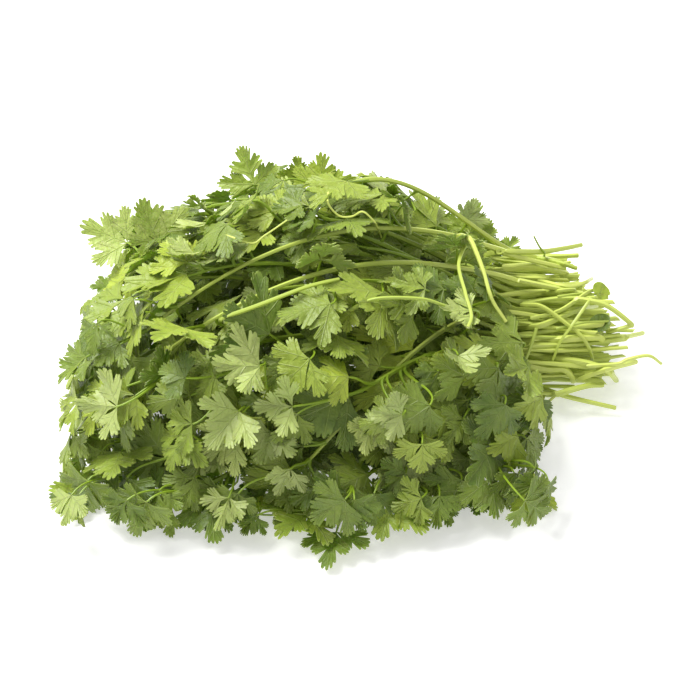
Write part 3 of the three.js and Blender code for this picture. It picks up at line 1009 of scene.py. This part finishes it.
# The first spots lie low in the front, where the light table would show through. FOOT_TOP is their
# highest place in the front view.
FOOT_SPOTS = 3600
FOOT_ALONG = (-142, 90)
FOOT_TOP = -42
FOOT_OVER = 6
FOOT_FRONT = -130
# A leaf whose spot is deeper than this share of the heap is plain, and its tint and age are cut to the
# second share. That is painted shade, for the shade deep inside the heap and low at its front.
DEEP = 0.7
DEEP_PAINTED_SHADE = 0.6
# The heap's outline in the front view: left and right as pairs of raised and along, top and bottom
# as pairs of along and raised.
LEFT_LINE = (
    (-95, -148), (-72, -147), (-56, -138), (-30, -134), (-8, -138), (5, -133), (18, -121),
    (28, -117), (38, -121), (50, -130), (64, -131), (80, -125),
)
RIGHT_LINE = (
    (-90, 97), (-75, 103), (-60, 96), (-35, 101), (-25, 98), (-15, 92), (0, 87), (10, 87), (25, 83),
    (36, 78), (45, 78), (52, 88), (60, 94), (70, 82),
)
TOP_LINE = (
    (-150, 20), (-138, 40), (-128, 56), (-105, 66), (-84, 69), (-64, 77), (-50, 92), (-25, 94),
    (-4, 97), (16, 87), (36, 77), (56, 75), (76, 64), (96, 50), (110, 20),
)
BOTTOM_LINE = (
    (-150, -80), (-105, -82), (-84, -89), (-64, -90), (-44, -87), (-24, -98), (-4, -104),
    (16, -94), (36, -84), (56, -83), (76, -87), (100, -80), (110, -20),
)
STANDS_OUT = 6
YOUNGER = 0.62
SHORTER_STALK = 0.5
# Leaves that stand up along the crest: where along the bunch, how far back, how high in the front
# view, length, lean to the right in degrees and how young and light their colour is. The high values
# are partly young leaf and partly painted light, which lightens crest leaves whose faces towards the
# camera lie in shade. A minus sign turns the leaf over.
CREST = (
    (-50, 50, 99, 21, -8, 0.7), (-35, 50, 92, 14, 5, 0.6), (-24, 50, 95, 13, -12, 0.8),
    (-9, 50, 95, 19, 6, 0.85), (12, 50, 88, 15, 20, 0.7), (45, 50, 79, 15, -5, 0.6),
    (60, 50, 74, 17, 12, 0.7), (-128, 18, 59, 23, -78, -0.95), (-101, 22, 71, 23, -48, -0.95),
    (-74, 45, 73, 16, -20, 0.7), (74, 50, 66, 15, 20, 0.75), (88, 50, 58, 14, 35, 0.7),
)
CREST_BACK = (0.4, 0.8)
CREST_TRIES = 120
CREST_WILD = (0.3, 0.03)
CREST_LEAN = 25
CREST_DEPTH = (-8, 14)
CREST_ASIDE = (-3, 3)
CREST_NORMAL = ((-0.4, 0.4), -0.7, 0.72)
CREST_AHEAD = 1.6
CREST_STALK = 6
CREST_FLOW = 0.4
CREST_BEND = (-0.1, 0.3)
CREST_FOLD = (-0.1, 0.35)
CREST_WING = (0.0, 0.5)
# The first stems lie loose on top, and no leaf may hide them.
SHOWN_STEMS = 4
SHOWN_PART = (0.05, 0.94, 40)
SHOWN_WAY = Vector((0.0, -0.75, 0.66))
SHOWN_OVER = 60
# Leaves grow from this part of a stem, on a stalk that leads ahead along it.
LEAFY_PART = (0.25, 0.98, 26)
STALK_REACH = (7, 48)
STALK_AHEAD = 1.5
TOO_NEAR = 100
STALK_LEAST = 4
STALK_TO_SPOT = 0.7
STALK_FLOW = 0.5
LIE_FLAT = 24.0
FLATTER = 1.8
BETWEEN_TILT = 24
BETWEEN_TURN = (-45, 45)
BETWEEN_DROOP = (-8, 22)
BETWEEN_LENGTH = (14, 25)
SMALL_UNDER = 12
SMALLER = 0.75
SPOT_SHARE = 0.45
BETWEEN_BEND = (-0.05, 0.4)
BETWEEN_FOLD = (-0.15, 0.4)
BETWEEN_WING = (-0.25, 0.5)
TURNED_OVER = 0.06
TABLE_GAP = 1.2
# Plain four-sided tubes stand for the stems when a leaf is tested.
TUBE_PARTS = 16
TUBE_SIDES = 4


def tilted(vector, draw, most):
    """A unit vector leant over by up to so many degrees"""
    for axis in np.eye(3):
        vector = turned(vector, axis, math.radians(draw((-most, most))))
    return unit(vector)


def foot_spot(draw):
    """A place low in the front of the heap"""
    x, z = draw(FOOT_ALONG), draw(LOW_HEIGHT)
    raised = draw((np.interp(x, *zip(*BOTTOM_LINE)) + FOOT_OVER, FOOT_TOP))
    return np.array([x, (raised - (z - AIM_HEIGHT) * FRONT_LOOK[2]) / FRONT_LOOK[1], z]), 0.0


def heap_spot(draw):
    """A place in or on the heap, spread evenly over its top and its steep sides"""
    around = draw((0, 2 * math.pi))
    if draw((0, 1)) < LOW_LEAVES:
        across = math.sqrt(draw(LOW_OUT)) * np.array([math.cos(around), math.sin(around)])
        flat = SPOT_MIDDLE + SPOT_HALF * across
        return np.array([flat[0], flat[1], draw(LOW_HEIGHT)]), 0.0
    steep = draw((0, 1)) < STEEP_SHARE
    up = draw(STEEP_UP) ** STEEP_POWER if steep else math.sqrt(1 - draw((0, 1)) ** TOP_POWER)
    power = SQUARE_TOP + (SQUARE_FOOT - SQUARE_TOP) * (1 - up)
    x, y = math.cos(around), math.sin(around)
    scale = ((1 - up**2) / (abs(x) ** power + abs(y) ** power)) ** (1 / power)
    depth = draw(SPOT_DEPTH)
    flat = SPOT_MIDDLE + SPOT_HALF * np.array([x, y]) * scale * (1 - DEPTH_IN + DEPTH_IN * depth)
    return np.array([flat[0], flat[1], HEAP_HEIGHT * up * depth]), depth


samples = [(index, t) for index in range(len(stems)) for t in np.linspace(*LEAFY_PART)]
sample_points = np.array([bezier(stems[i]["path"]["curve"], t) for i, t in samples])
sample_ways = np.array([slope(stems[i]["path"]["curve"], t) for i, t in samples])

# Every sheet and tube that a leaf must stay clear of, with its middle and reach, and the tubes alone
sheets = []
middles = []
reaches = []
bare_stalks = []


def search_tree(points, faces):
    """A surface in the form in which it can be tested for overlaps and hit by rays"""
    return BVHTree.FromPolygons(points.tolist(), [tuple(face) for face in faces])


def extent(points):
    """The middle of some points and how far they reach from it at most"""
    low, high = points.min(axis=0), points.max(axis=0)
    return (low + high) / 2, np.linalg.norm(high - low) / 2


def remember(points, faces):
    """Keeps a sheet or a tube that the next leaves must stay clear of"""
    middle, reach = extent(points)
    sheets.append(search_tree(points, faces))
    middles.append(middle)
    reaches.append(reach)


def is_clear(points, faces):
    """Whether a sheet cuts nothing that is kept so far"""
    tree = search_tree(points, faces)
    middle, reach = extent(points)
    apart = np.linalg.norm(np.array(middles) - middle, axis=1)
    near = np.nonzero(apart < np.array(reaches) + reach)[0]
    return not any(tree.overlap(sheets[i]) for i in near)


for stem in stems:
    curve = np.array([bezier(stem["path"]["curve"], t) for t in np.linspace(0, 1, TUBE_PARTS)])
    curve = np.concatenate([[stem["path"]["cut"]], curve])
    for i in range(len(curve) - 1):
        points, faces, _ = tube(curve[i : i + 2], np.full(2, stem["path"]["radius"]), TUBE_SIDES)
        remember(points, faces)
        bare_stalks.append(sheets[-1])
    for pose in stem["leaves"]:
        remember(*blade_sheet(pose))


def out_of_outline(points):
    """How far a leaf stands out of the heap's outline in the front view, below zero for one inside"""
    raised = points @ FRONT_LOOK - AIM_HEIGHT * FRONT_LOOK[2]
    over = raised - np.interp(points[:, 0], *zip(*TOP_LINE))
    below = np.interp(points[:, 0], *zip(*BOTTOM_LINE)) - raised
    beside = np.interp(raised, *zip(*LEFT_LINE)) - points[:, 0]
    past = points[:, 0] - np.interp(raised, *zip(*RIGHT_LINE))
    return float(max(over.max(), below.max(), beside.max(), past.max()))


# A leaf that would stand far out is a younger one on a shorter stalk
for stem in stems:
    for pose in stem["leaves"]:
        if out_of_outline(blade_sheet(pose)[0]) > STANDS_OUT:
            pose["heart"] = pose["root"] + (pose["heart"] - pose["root"]) * SHORTER_STALK
            pose["length"] *= YOUNGER

shown = [
    Vector(bezier(stem["path"]["curve"], t))
    for stem in stems[:SHOWN_STEMS]
    for t in np.linspace(*SHOWN_PART)
]


def covers_shown(points, faces):
    """Whether a leaf would hide one of the loose stems that lie on top of the heap"""
    sheet = search_tree(points, faces)
    return any(sheet.ray_cast(point, SHOWN_WAY, SHOWN_OVER)[0] is not None for point in shown)


def leaf_over(spot, draw):
    """A leaf over this spot of the heap, on a stalk from a stem nearby"""
    offset = spot - sample_points
    apart = np.linalg.norm(offset, axis=1)
    ahead = np.sum(offset * sample_ways, axis=1) / apart
    cost = apart * (STALK_AHEAD - ahead) + np.where(apart < STALK_REACH[0], TOO_NEAR, 0)
    best = int(np.argmin(cost))
    if apart[best] > STALK_REACH[1]:
        return None
    normal = heap_normal(spot)
    normal[2] += max(1 - spot[2] / LIE_FLAT, 0) * FLATTER
    normal = tilted(unit(normal), draw, BETWEEN_TILT)
    leaving = unit(offset[best] * STALK_TO_SPOT / apart[best] + sample_ways[best] * STALK_FLOW)
    axis = leaving - normal * (leaving @ normal)
    axis = turned(unit(axis), normal, math.radians(draw(BETWEEN_TURN)))
    axis = turned(axis, unit(np.cross(normal, axis)), math.radians(draw(BETWEEN_DROOP)))
    length = draw(BETWEEN_LENGTH) * (SMALLER if spot[2] < SMALL_UNDER else 1)
    across = unit(np.cross(normal, axis))
    normal = np.cross(axis, across)
    if draw((0, 1)) < TURNED_OVER:
        normal, across = -normal, -across
    heart = spot - axis * length * SPOT_SHARE
    if np.linalg.norm(heart - sample_points[best]) < STALK_LEAST:
        return None
    return {
        "stem": samples[best][0],
        "root": sample_points[best],
        "stalk": leaving,
        "heart": heart,
        "axis": axis,
        "across": across,
        "normal": normal,
        "length": length,
        "bend": draw(BETWEEN_BEND),
        "fold": draw(BETWEEN_FOLD),
        "wing": draw(BETWEEN_WING),
    }


# The leaves that stand up along the crest of the heap. One that finds no clear place is left out.
for number, (x, back, raised, length, lean, young) in enumerate(CREST):
    for attempt in range(CREST_TRIES):
        draw = draws_for(8, number, attempt)
        wild = CREST_WILD[0] + attempt * CREST_WILD[1]
        lean_now = math.radians(lean + CREST_LEAN * draw((-1, 1)) * min(wild, 1))
        axis = unit(np.array([math.sin(lean_now), draw(CREST_BACK), math.cos(lean_now)]))
        y = back + draw(CREST_DEPTH) * wild
        z = (raised - y * FRONT_LOOK[1]) / FRONT_LOOK[2] + AIM_HEIGHT
        heart = np.array([x + draw(CREST_ASIDE) * wild, y, z]) - axis * length
        normal = np.array([draw(CREST_NORMAL[0]), *CREST_NORMAL[1:]])
        normal = unit(normal - axis * (normal @ axis)) * (-1 if young < 0 else 1)
        apart = np.linalg.norm(sample_points - heart, axis=1)
        ahead = (heart - sample_points) @ axis / apart
        near = np.where(apart < CREST_STALK, TOO_NEAR, 0)
        best = int(np.argmin(apart * (CREST_AHEAD - ahead) + near))
        to_heart = (heart - sample_points[best]) / apart[best]
        pose = {
            "stem": samples[best][0],
            "root": sample_points[best],
            "stalk": unit(to_heart + sample_ways[best] * CREST_FLOW),
            "heart": heart,
            "axis": axis,
            "across": np.cross(normal, axis),
            "normal": normal,
            "length": length,
            "bend": draw(CREST_BEND),
            "fold": draw(CREST_FOLD),
            "wing": draw(CREST_WING),
            "young": abs(young),
        }
        points, faces = blade_sheet(pose)
        if is_clear(points, faces):
            remember(points, faces)
            stems[pose["stem"]].setdefault("between", []).append(pose)
            break

for number in range(SPOTS):
    draw = draws_for(4, number)
    spot, depth = foot_spot(draw) if number < FOOT_SPOTS else heap_spot(draw)
    pose = leaf_over(spot, draw)
    if pose is None:
        continue
    points, faces = blade_sheet(pose)
    low, front = points[:, 2].min(), points[:, 1].min()
    if low < TABLE_GAP or front < FOOT_FRONT or out_of_outline(points) >= 0:
        continue
    if covers_shown(points, faces) or not is_clear(points, faces):
        continue
    remember(points, faces)
    pose["deep"] = depth < DEEP
    stems[pose["stem"]].setdefault("between", []).append(pose)

# The leafy stems
# About fifty cut stems, each grown as one with its leaf stalks and leaves. They are pale near the cut
# and greener towards the leaves, and the loose ones on top are paler all along.
STEM_SLIM = 0.94
PALE_CUT = 10
GREEN_AFTER = (60, 130)
GREEN_MOST = (0.75, 1)
SHOWN_TINT = 0.2
SHOWN_GREEN = 0.5


def finish_piece(piece, name, node=None):
    """Makes a piece that moves with the bunch, in place of its CAD node where it has one"""
    made = piece.make(name, [blade, skin])
    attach(made, "root")
    if node:
        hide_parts(node)


for stem in stems:
    path, number = stem["path"], stem["slot"]["number"]
    draw = draws_for(3, number)
    piece = Piece()
    line, radii = stem_line(path, [pose["root"] for pose in stem["leaves"][1:]], draw)
    body, faces, piece_map = tube(line, radii * STEM_SLIM, STEM_AROUND, RIDGE, draw(CUT_SLANT))
    shade = draw((0, 1))
    greener = np.clip((piece_map[:, 1] - PALE_CUT) / draw(GREEN_AFTER), 0, 1) * draw(GREEN_MOST)
    if number < SHOWN_STEMS:
        shade = SHOWN_TINT
        greener *= SHOWN_GREEN
    values = marks(body, shade, greener)
    values[-2, 2] = 1.0
    piece.add(body, faces, piece_map, ON_STEM, values)
    for pose in stem["leaves"] + stem.get("between", []):
        look = blade_look(draw)
        # A crest leaf's tint and age both take its youth value. This light colour is partly painted
        # light on the heap's top.
        if "young" in pose:
            look["tint"] = look["age"] = pose["young"]
        # A deep or low leaf gets a darker, less young colour: painted shade where the heap shades it.
        if pose.get("deep"):
            look["tint"] *= DEEP_PAINTED_SHADE
            look["age"] *= DEEP_PAINTED_SHADE
        arriving = unit(pose["axis"] + pose["stalk"])
        points = stalk_line(pose["root"], pose["stalk"], pose["heart"], arriving)
        add_stalk(piece, points, draw)
        add_blade(piece, pose, draw, look, LOW if pose.get("deep") else FINE)
    finish_piece(piece, stem["node"].replace("leafy", "coriander"), stem["node"])

# Thin stalks of the bundle
# The bundle also holds thinner stalks, which cross over the thick stems and end inside the heap.
# They are cut with them, and flex more, so they lie less straight.
# The first 60 lie in the outer part of the bundle and the others inside it. Their place is a share
# of the way from its middle to its edge.
STALKS = 110
INSIDE_FROM = 60
THIN_INSIDE = (0.15, 0.8)
THIN_SHARE = (0.6, 1.16)
THIN_AROUND = (0.02, math.pi - 0.02)
THIN_ALONG = (-8, 14)
THIN_RADIUS = (0.6, 1.2)
THIN_SPLAY = (-11, 11)
THIN_CLIMB = (-4, 5)
THIN_ACROSS = 0.95
THIN_ACROSS_SPLAY = 2.2
THIN_ASIDE = (-0.12, 0.12)
THIN_UP = (0.0, 0.25)
THIN_END = (26, 60)
THIN_UNEVEN = (-16, 3)
THIN_INTO = (45, 95)
THIN_STRAIGHT = 14
THIN_POINTS = 34
THIN_SWAY = (0.2, 0.9)
THIN_WAVES = (4, 8)
THIN_PHASE = (0, 6)
THIN_TRIES = 60
THIN_APART = 0.9
THIN_SIDES = 8
THIN_PALE = 20
THIN_GREEN_AFTER = 90
THIN_GREEN = (0.3, 1)
NODE_SWELL = 0.35
NODE_PLACE = (0.1, 0.5)
NODE_LENGTH = 0.06
BARE_FROM = 20

lines = []
for stem in stems:
    line, radii = stem_line(stem["path"], [])
    keep = line[:, 0] > BARE_FROM
    lines.append(np.column_stack([line[keep], radii[keep]]))
taken = np.concatenate(lines)


def thin_line(draw, radius, reach):
    """A thin stalk's centreline, from its cut end through the bundle into the heap"""
    share, around = draw(reach), draw(THIN_AROUND)
    grip_y = GRIP[1] + BUNDLE["half_width"] * share * math.cos(around)
    grip_z = radius + max(BUNDLE["height"] * share * math.sin(around) - BUNDLE["sunk"] * share, 0.2)
    middle = np.array([GRIP[0] + draw(THIN_ALONG), grip_y, grip_z])
    sideways, upward = math.radians(draw(THIN_SPLAY)), math.radians(draw(THIN_CLIMB))
    if share > THIN_ACROSS:
        sideways *= THIN_ACROSS_SPLAY
    out = unit(np.array([1.0, math.tan(sideways), math.tan(upward)]))
    ahead = unit(np.array([-1.0, -math.tan(sideways) + draw(THIN_ASIDE), draw(THIN_UP)]))
    end = np.interp(raised_in_view(middle), *zip(*END_LINE))
    most = end - middle[0] + draw(THIN_UNEVEN)
    cut = middle + out * min(draw(THIN_END), most)
    far = middle + ahead * draw(THIN_INTO)
    curve = [cut, middle + out * THIN_STRAIGHT, middle + ahead * THIN_STRAIGHT, far]
    line = np.array([bezier(curve, t) for t in np.linspace(0, 1, THIN_POINTS)])
    sway = draw(THIN_SWAY)
    waves = np.linspace(0, draw(THIN_WAVES), THIN_POINTS)
    line[:, 1] += sway * np.sin(waves + draw(THIN_PHASE))
    return line


for number in range(STALKS):
    for attempt in range(THIN_TRIES):
        draw = draws_for(5, number, attempt)
        radius = draw(THIN_RADIUS)
        line = thin_line(draw, radius, THIN_SHARE if number < INSIDE_FROM else THIN_INSIDE)
        if line[:, 2].min() < radius:
            continue
        bare = line[line[:, 0] > BARE_FROM]
        apart = np.linalg.norm(bare[:, None] - taken[None, :, :3], axis=2) - taken[:, 3]
        if apart.min() > radius * THIN_APART:
            break
    else:
        continue
    taken = np.concatenate([taken, np.column_stack([bare, np.full(len(bare), radius)])])
    for i in range(0, len(line) - 4, 4):
        points, faces, _ = tube(line[i : i + 5 : 4], np.full(2, radius), TUBE_SIDES)
        bare_stalks.append(search_tree(points, faces))
    piece = Piece()
    from_node = (np.linspace(0, 1, THIN_POINTS) - draw(NODE_PLACE)) / NODE_LENGTH
    radii = radius * (1 + NODE_SWELL * np.exp(-(from_node**2)))
    body, faces, piece_map = tube(line, radii, THIN_SIDES, RIDGE, draw(CUT_SLANT))
    shade = draw((0, 1))
    greener = np.clip((piece_map[:, 1] - THIN_PALE) / THIN_GREEN_AFTER, 0, 1) * draw(THIN_GREEN)
    values = marks(body, shade, greener)
    values[-2, 2] = 1.0
    piece.add(body, faces, piece_map, ON_STEM, values)
    finish_piece(piece, f"coriander_stalk_{number + 1:02d}")

# Stray stalks
# A few thin bright stalks lie across the heap and the bundle or stick out of the cut ends, and two
# small round seed leaves sit there. Points are given as they are seen from the front, along the
# bunch and up, and each stalk is laid on what is under it, taut over the bumps. Those that start past
# BUNDLE_FROM lie on the bundle's stalks and on each other, the others on the heap's leaves.
# Each stray stalk has its radius, how green it is and its points.
STRAYS = (
    (1.3, 0.2, ((90, 1), (106, 1.3), (122.3, 2.5), (149.3, 7.3))),
    (1.4, 0.3, ((70, 47), (95, 47.8), (108.8, 50), (119.3, 52.3))),
    (1.2, 0.2, ((96, -20), (108.7, -24.3), (132.3, -29.8))),
    (0.8, 0.2, ((95, -30), (99, -27), (104, -22))),
    (1.8, 0.0, ((78, 39.5), (93, 40.2), (104.5, 38.9), (112, 37.5))),
    (1.2, 0.4, ((96, 45), (102.6, 43.3), (114.4, 39.5))),
    (1.1, 0.15, ((84, 33), (109.6, 28), (121.7, 25.5))),
    (1.0, 0.25, ((86, 24.8), (104.5, 28), (112.2, 28.7))),
    (1.1, 0.3, ((87.3, 21.5), (102, 24), (121.7, 24.5))),
    (1.5, 0.2, ((84, 10), (94.3, 10.8), (105.8, 15.3), (116, 19.1), (126.8, 21.3))),
    (1.8, 0.05, ((84, 2), (102, 3.8), (121, 5.1), (125.6, 3.8))),
    (1.6, 0.15, ((84, -3), (98.1, -5.1), (114.1, -7), (124.9, -10.2), (135.8, -16.6))),
    (1.8, 0.1, ((86.7, -7.7), (98.1, -10.2), (107, -10.9), (112.2, -16.6))),
    (1.4, 0.3, ((100, -23.5), (117.3, -19), (126.3, -18.5))),
    (1.4, 0.1, ((114, -15.5), (125.6, -10.9), (142.8, -7))),
    (1.2, 0.1, ((96, 33), (110, 30), (128, 36))),
    (1.0, 0.2, ((88, 14), (104, 18), (120, 28), (131, 27))),
    (0.9, 0.1, ((118, -9), (132, -8), (137, -5.8), (147, -4), (154, -8))),
    (1.2, 0.2, ((112, 24), (126, 20.8), (138.5, 11.8), (138, 10.5), (127.8, 7.3))),
    (0.5, 0.8, ((100, 46), (96, 50), (92.6, 55.4))),
    (1.0, 0.2, ((86, 21), (95, 20.3), (106, 12.5), (115, 4.8), (122, -6.3))),
    (0.8, 0.5, ((92, 9), (91.8, 7.3), (87.3, -5.3), (81.3, -16.8))),
    (0.8, 0.35, ((119.2, 24.3), (110.9, 12.8), (108.3, 8.9), (103.9, 2.6), (100.7, -6.4))),
    (0.9, 0.35, ((56, 48.5), (53, 42), (52, 36), (54, 24), (56, 14.5), (54, 9))),
    (1.1, 0.1, ((54, 56), (58, 51), (60.5, 45), (63.5, 36), (67, 23), (74, 12))),
    (0.5, 0.0, ((-9, 73), (-9, 67), (-4, 61.5), (2, 61), (7, 63), (12, 59), (17, 53))),
    (0.5, 0.1, ((-59, 53), (-45, 48), (-38, 52), (-28, 59))),
    (1.0, 0.6, ((-59, 12), (-42, 18), (-19, 27), (-4, 31))),
    (0.8, 0.6, ((1, 17), (13, 22), (33, 22), (44, 19))),
)
LIFTED = 0.3
BUNDLE_FROM = 65
STRAY_STEPS = 6
STRAY_SIDES = 8
STRAY_TAPER = (1.1, 0.85)
RAY_FROM = 300
RAY_LENGTH = 420


def seen_from_front(x, raised):
    """A point in the upright plane through the bunch's middle, at this place of the front view"""
    return np.array([x, 0.0, AIM_HEIGHT + raised / FRONT_LOOK[2]])


TO_FRONT = np.array([0.0, -FRONT_LOOK[2], FRONT_LOOK[1]])


def lying(places, radius, under):
    """A line over these places of the front view, which rests on what is under it or on the table"""
    line = smooth_line([(x, raised, 0.0) for x, raised in places], STRAY_STEPS)
    start = np.array([seen_from_front(x, raised) for x, raised, _ in line])
    length = np.concatenate([[0], np.cumsum(np.linalg.norm(np.diff(line, axis=0), axis=1))])
    fronts = []
    for point in start:
        origin = Vector(point + TO_FRONT * RAY_FROM)
        hits = [sheet.ray_cast(origin, Vector(-TO_FRONT), RAY_LENGTH)[3] for sheet in under]
        hits = [RAY_FROM - hit + radius + LIFTED for hit in hits if hit is not None]
        fronts.append(max(hits) if hits else math.nan)
    fronts = np.array(fronts)
    met = ~np.isnan(fronts)
    table = (radius - start[:, 2]) / TO_FRONT[2]
    fronts = np.interp(length, length[met], fronts[met]) if met.any() else table
    fronts = np.maximum(fronts, table)
    taut = [0]
    while taut[-1] < len(line) - 1:
        here = taut[-1]
        rises = (fronts[here + 1 :] - fronts[here]) / (length[here + 1 :] - length[here])
        taut.append(here + 1 + int(np.argmax(rises)))
    front = np.interp(length, length[taut], fronts[taut])
    return start + TO_FRONT * front[:, None]


def smooth_line(points, steps):
    """A smooth line through a few points"""
    points = np.array(points)
    ends = np.concatenate([[2 * points[0] - points[1]], points, [2 * points[-1] - points[-2]]])
    line = []
    for a, b, c, d in zip(ends, ends[1:], ends[2:], ends[3:]):
        for t in np.arange(steps) / steps:
            line.append(
                0.5 * (2 * b + (c - a) * t + (2 * a - 5 * b + 4 * c - d) * t**2
                       + (3 * b - a - 3 * c + d) * t**3)
            )
    return np.array(line + [points[-1]])


for number, (radius, green, places) in enumerate(STRAYS):
    draw = draws_for(6, number)
    in_bundle = places[0][0] > BUNDLE_FROM
    line = lying(places, radius, bare_stalks if in_bundle else sheets)
    piece = Piece()
    radii = radius * np.linspace(*STRAY_TAPER, len(line))
    body, faces, piece_map = tube(line, radii, STRAY_SIDES, RIDGE, draw(CUT_SLANT))
    if in_bundle:
        bare_stalks.append(search_tree(body, faces))
    values = marks(body, draw((0, 1)) * green, green)
    values[-2:, 2] = 1.0
    piece.add(body, faces, piece_map, ON_STEM, values)
    finish_piece(piece, f"stray_stalk_{number + 1:02d}")

# Seed leaves
# Two small round leaves without teeth, slightly cupped and notched where their short stalk joins
# them. They come from the seedling, and one is still fresh light green while the other is dark.
# Each has its place along the bunch and up in the front view, its radius, its lean to the right in
# degrees and how young it is.
SEED_LEAVES = ((125.2, 28.0, 4.6, 34, 0.9), (124.3, 12.1, 5.2, -28, 0.1))
SEED_OVER = 3.5
SEED_FACING = (-0.6, 0.8)
SEED_TIP_WAY = (0.2, 1.0, 0.1)
SEED_AROUND = 20
SEED_RINGS = (0.4, 0.75, 1.0)
SEED_OVAL = 0.12
SEED_NOTCH = 0.16
SEED_NOTCH_WIDTH = 0.3
SEED_CUP = 0.06
SEED_WAVE = 0.25
SEED_WAVES = 1.1
SEED_HALF_THICK = 0.25
SEED_MAP = 25
SEED_MAP_FROM = (0, 0.2)
SEED_STALK_BACK = 22
SEED_STALK_DOWN = 3
SEED_STALK_UNDER = 0.2
SEED_STALK_ARCH = np.array([0, 0, 1.5])
SEED_STALK_TAPER = (0.8, 0.5)
SEED_STALK_SIDES = 7
SEED_STALK_STEPS = 8
SEED_STALK_JOIN = -0.9
SEED_STALK_GREEN = 0.5


def resting(x, raised, half, radius):
    """A point on the bundle's stalks at this place of the front view, level over a short length"""
    return lying([(x + aside, raised) for aside in (-half, 0, half)], radius, bare_stalks)[STRAY_STEPS]


for number, (x, raised, radius, lean, young) in enumerate(SEED_LEAVES):
    middle = resting(x, raised, 1, SEED_OVER)
    piece = Piece()
    normal = unit(np.array([math.sin(math.radians(lean)), *SEED_FACING]))
    axis = unit(np.cross(normal, SEED_TIP_WAY))
    across = np.cross(normal, axis)
    turn = np.arange(SEED_AROUND) / SEED_AROUND * 2 * math.pi
    notch = SEED_NOTCH * np.exp(-(((turn - math.pi) / SEED_NOTCH_WIDTH) ** 2))
    wide = 1 + SEED_OVAL * np.cos(2 * turn) - notch
    edge = np.stack([np.cos(turn), np.sin(turn)], axis=1)
    rings = [edge * (radius * share * wide)[:, None] for share in SEED_RINGS]
    flat = np.concatenate([np.zeros((1, 2))] + rings)
    cup = SEED_CUP * np.sum(flat**2, axis=1) / radius + SEED_WAVE * np.sin(flat[:, 0] * SEED_WAVES)
    spread_out = middle + axis * flat[:, :1] + across * flat[:, 1:]
    sides = np.concatenate([
        spread_out + normal * (cup + lift)[:, None] for lift in (SEED_HALF_THICK, -SEED_HALF_THICK)
    ])
    values = marks(sides, young, young, np.repeat([0.0, 1.0], len(flat)))
    leaf_map = np.tile(flat / SEED_MAP + SEED_MAP_FROM, (2, 1))
    shell = shell_faces(SEED_AROUND, len(SEED_RINGS))[:, ::-1]
    piece.add(sides, shell, leaf_map, ON_LEAF, values)
    base = middle + axis * radius * SEED_STALK_JOIN + normal * SEED_STALK_UNDER
    foot = resting(x - SEED_STALK_BACK, raised - SEED_STALK_DOWN, 2, SEED_STALK_UNDER)
    line = smooth_line([foot, (foot + base) / 2 + SEED_STALK_ARCH, base], SEED_STALK_STEPS)
    body, faces, piece_map = tube(line, np.linspace(*SEED_STALK_TAPER, len(line)), SEED_STALK_SIDES)
    piece.add(body, faces, piece_map, ON_STEM, marks(body, 0.0, SEED_STALK_GREEN))
    finish_piece(piece, f"seed_leaf_{number + 1}")
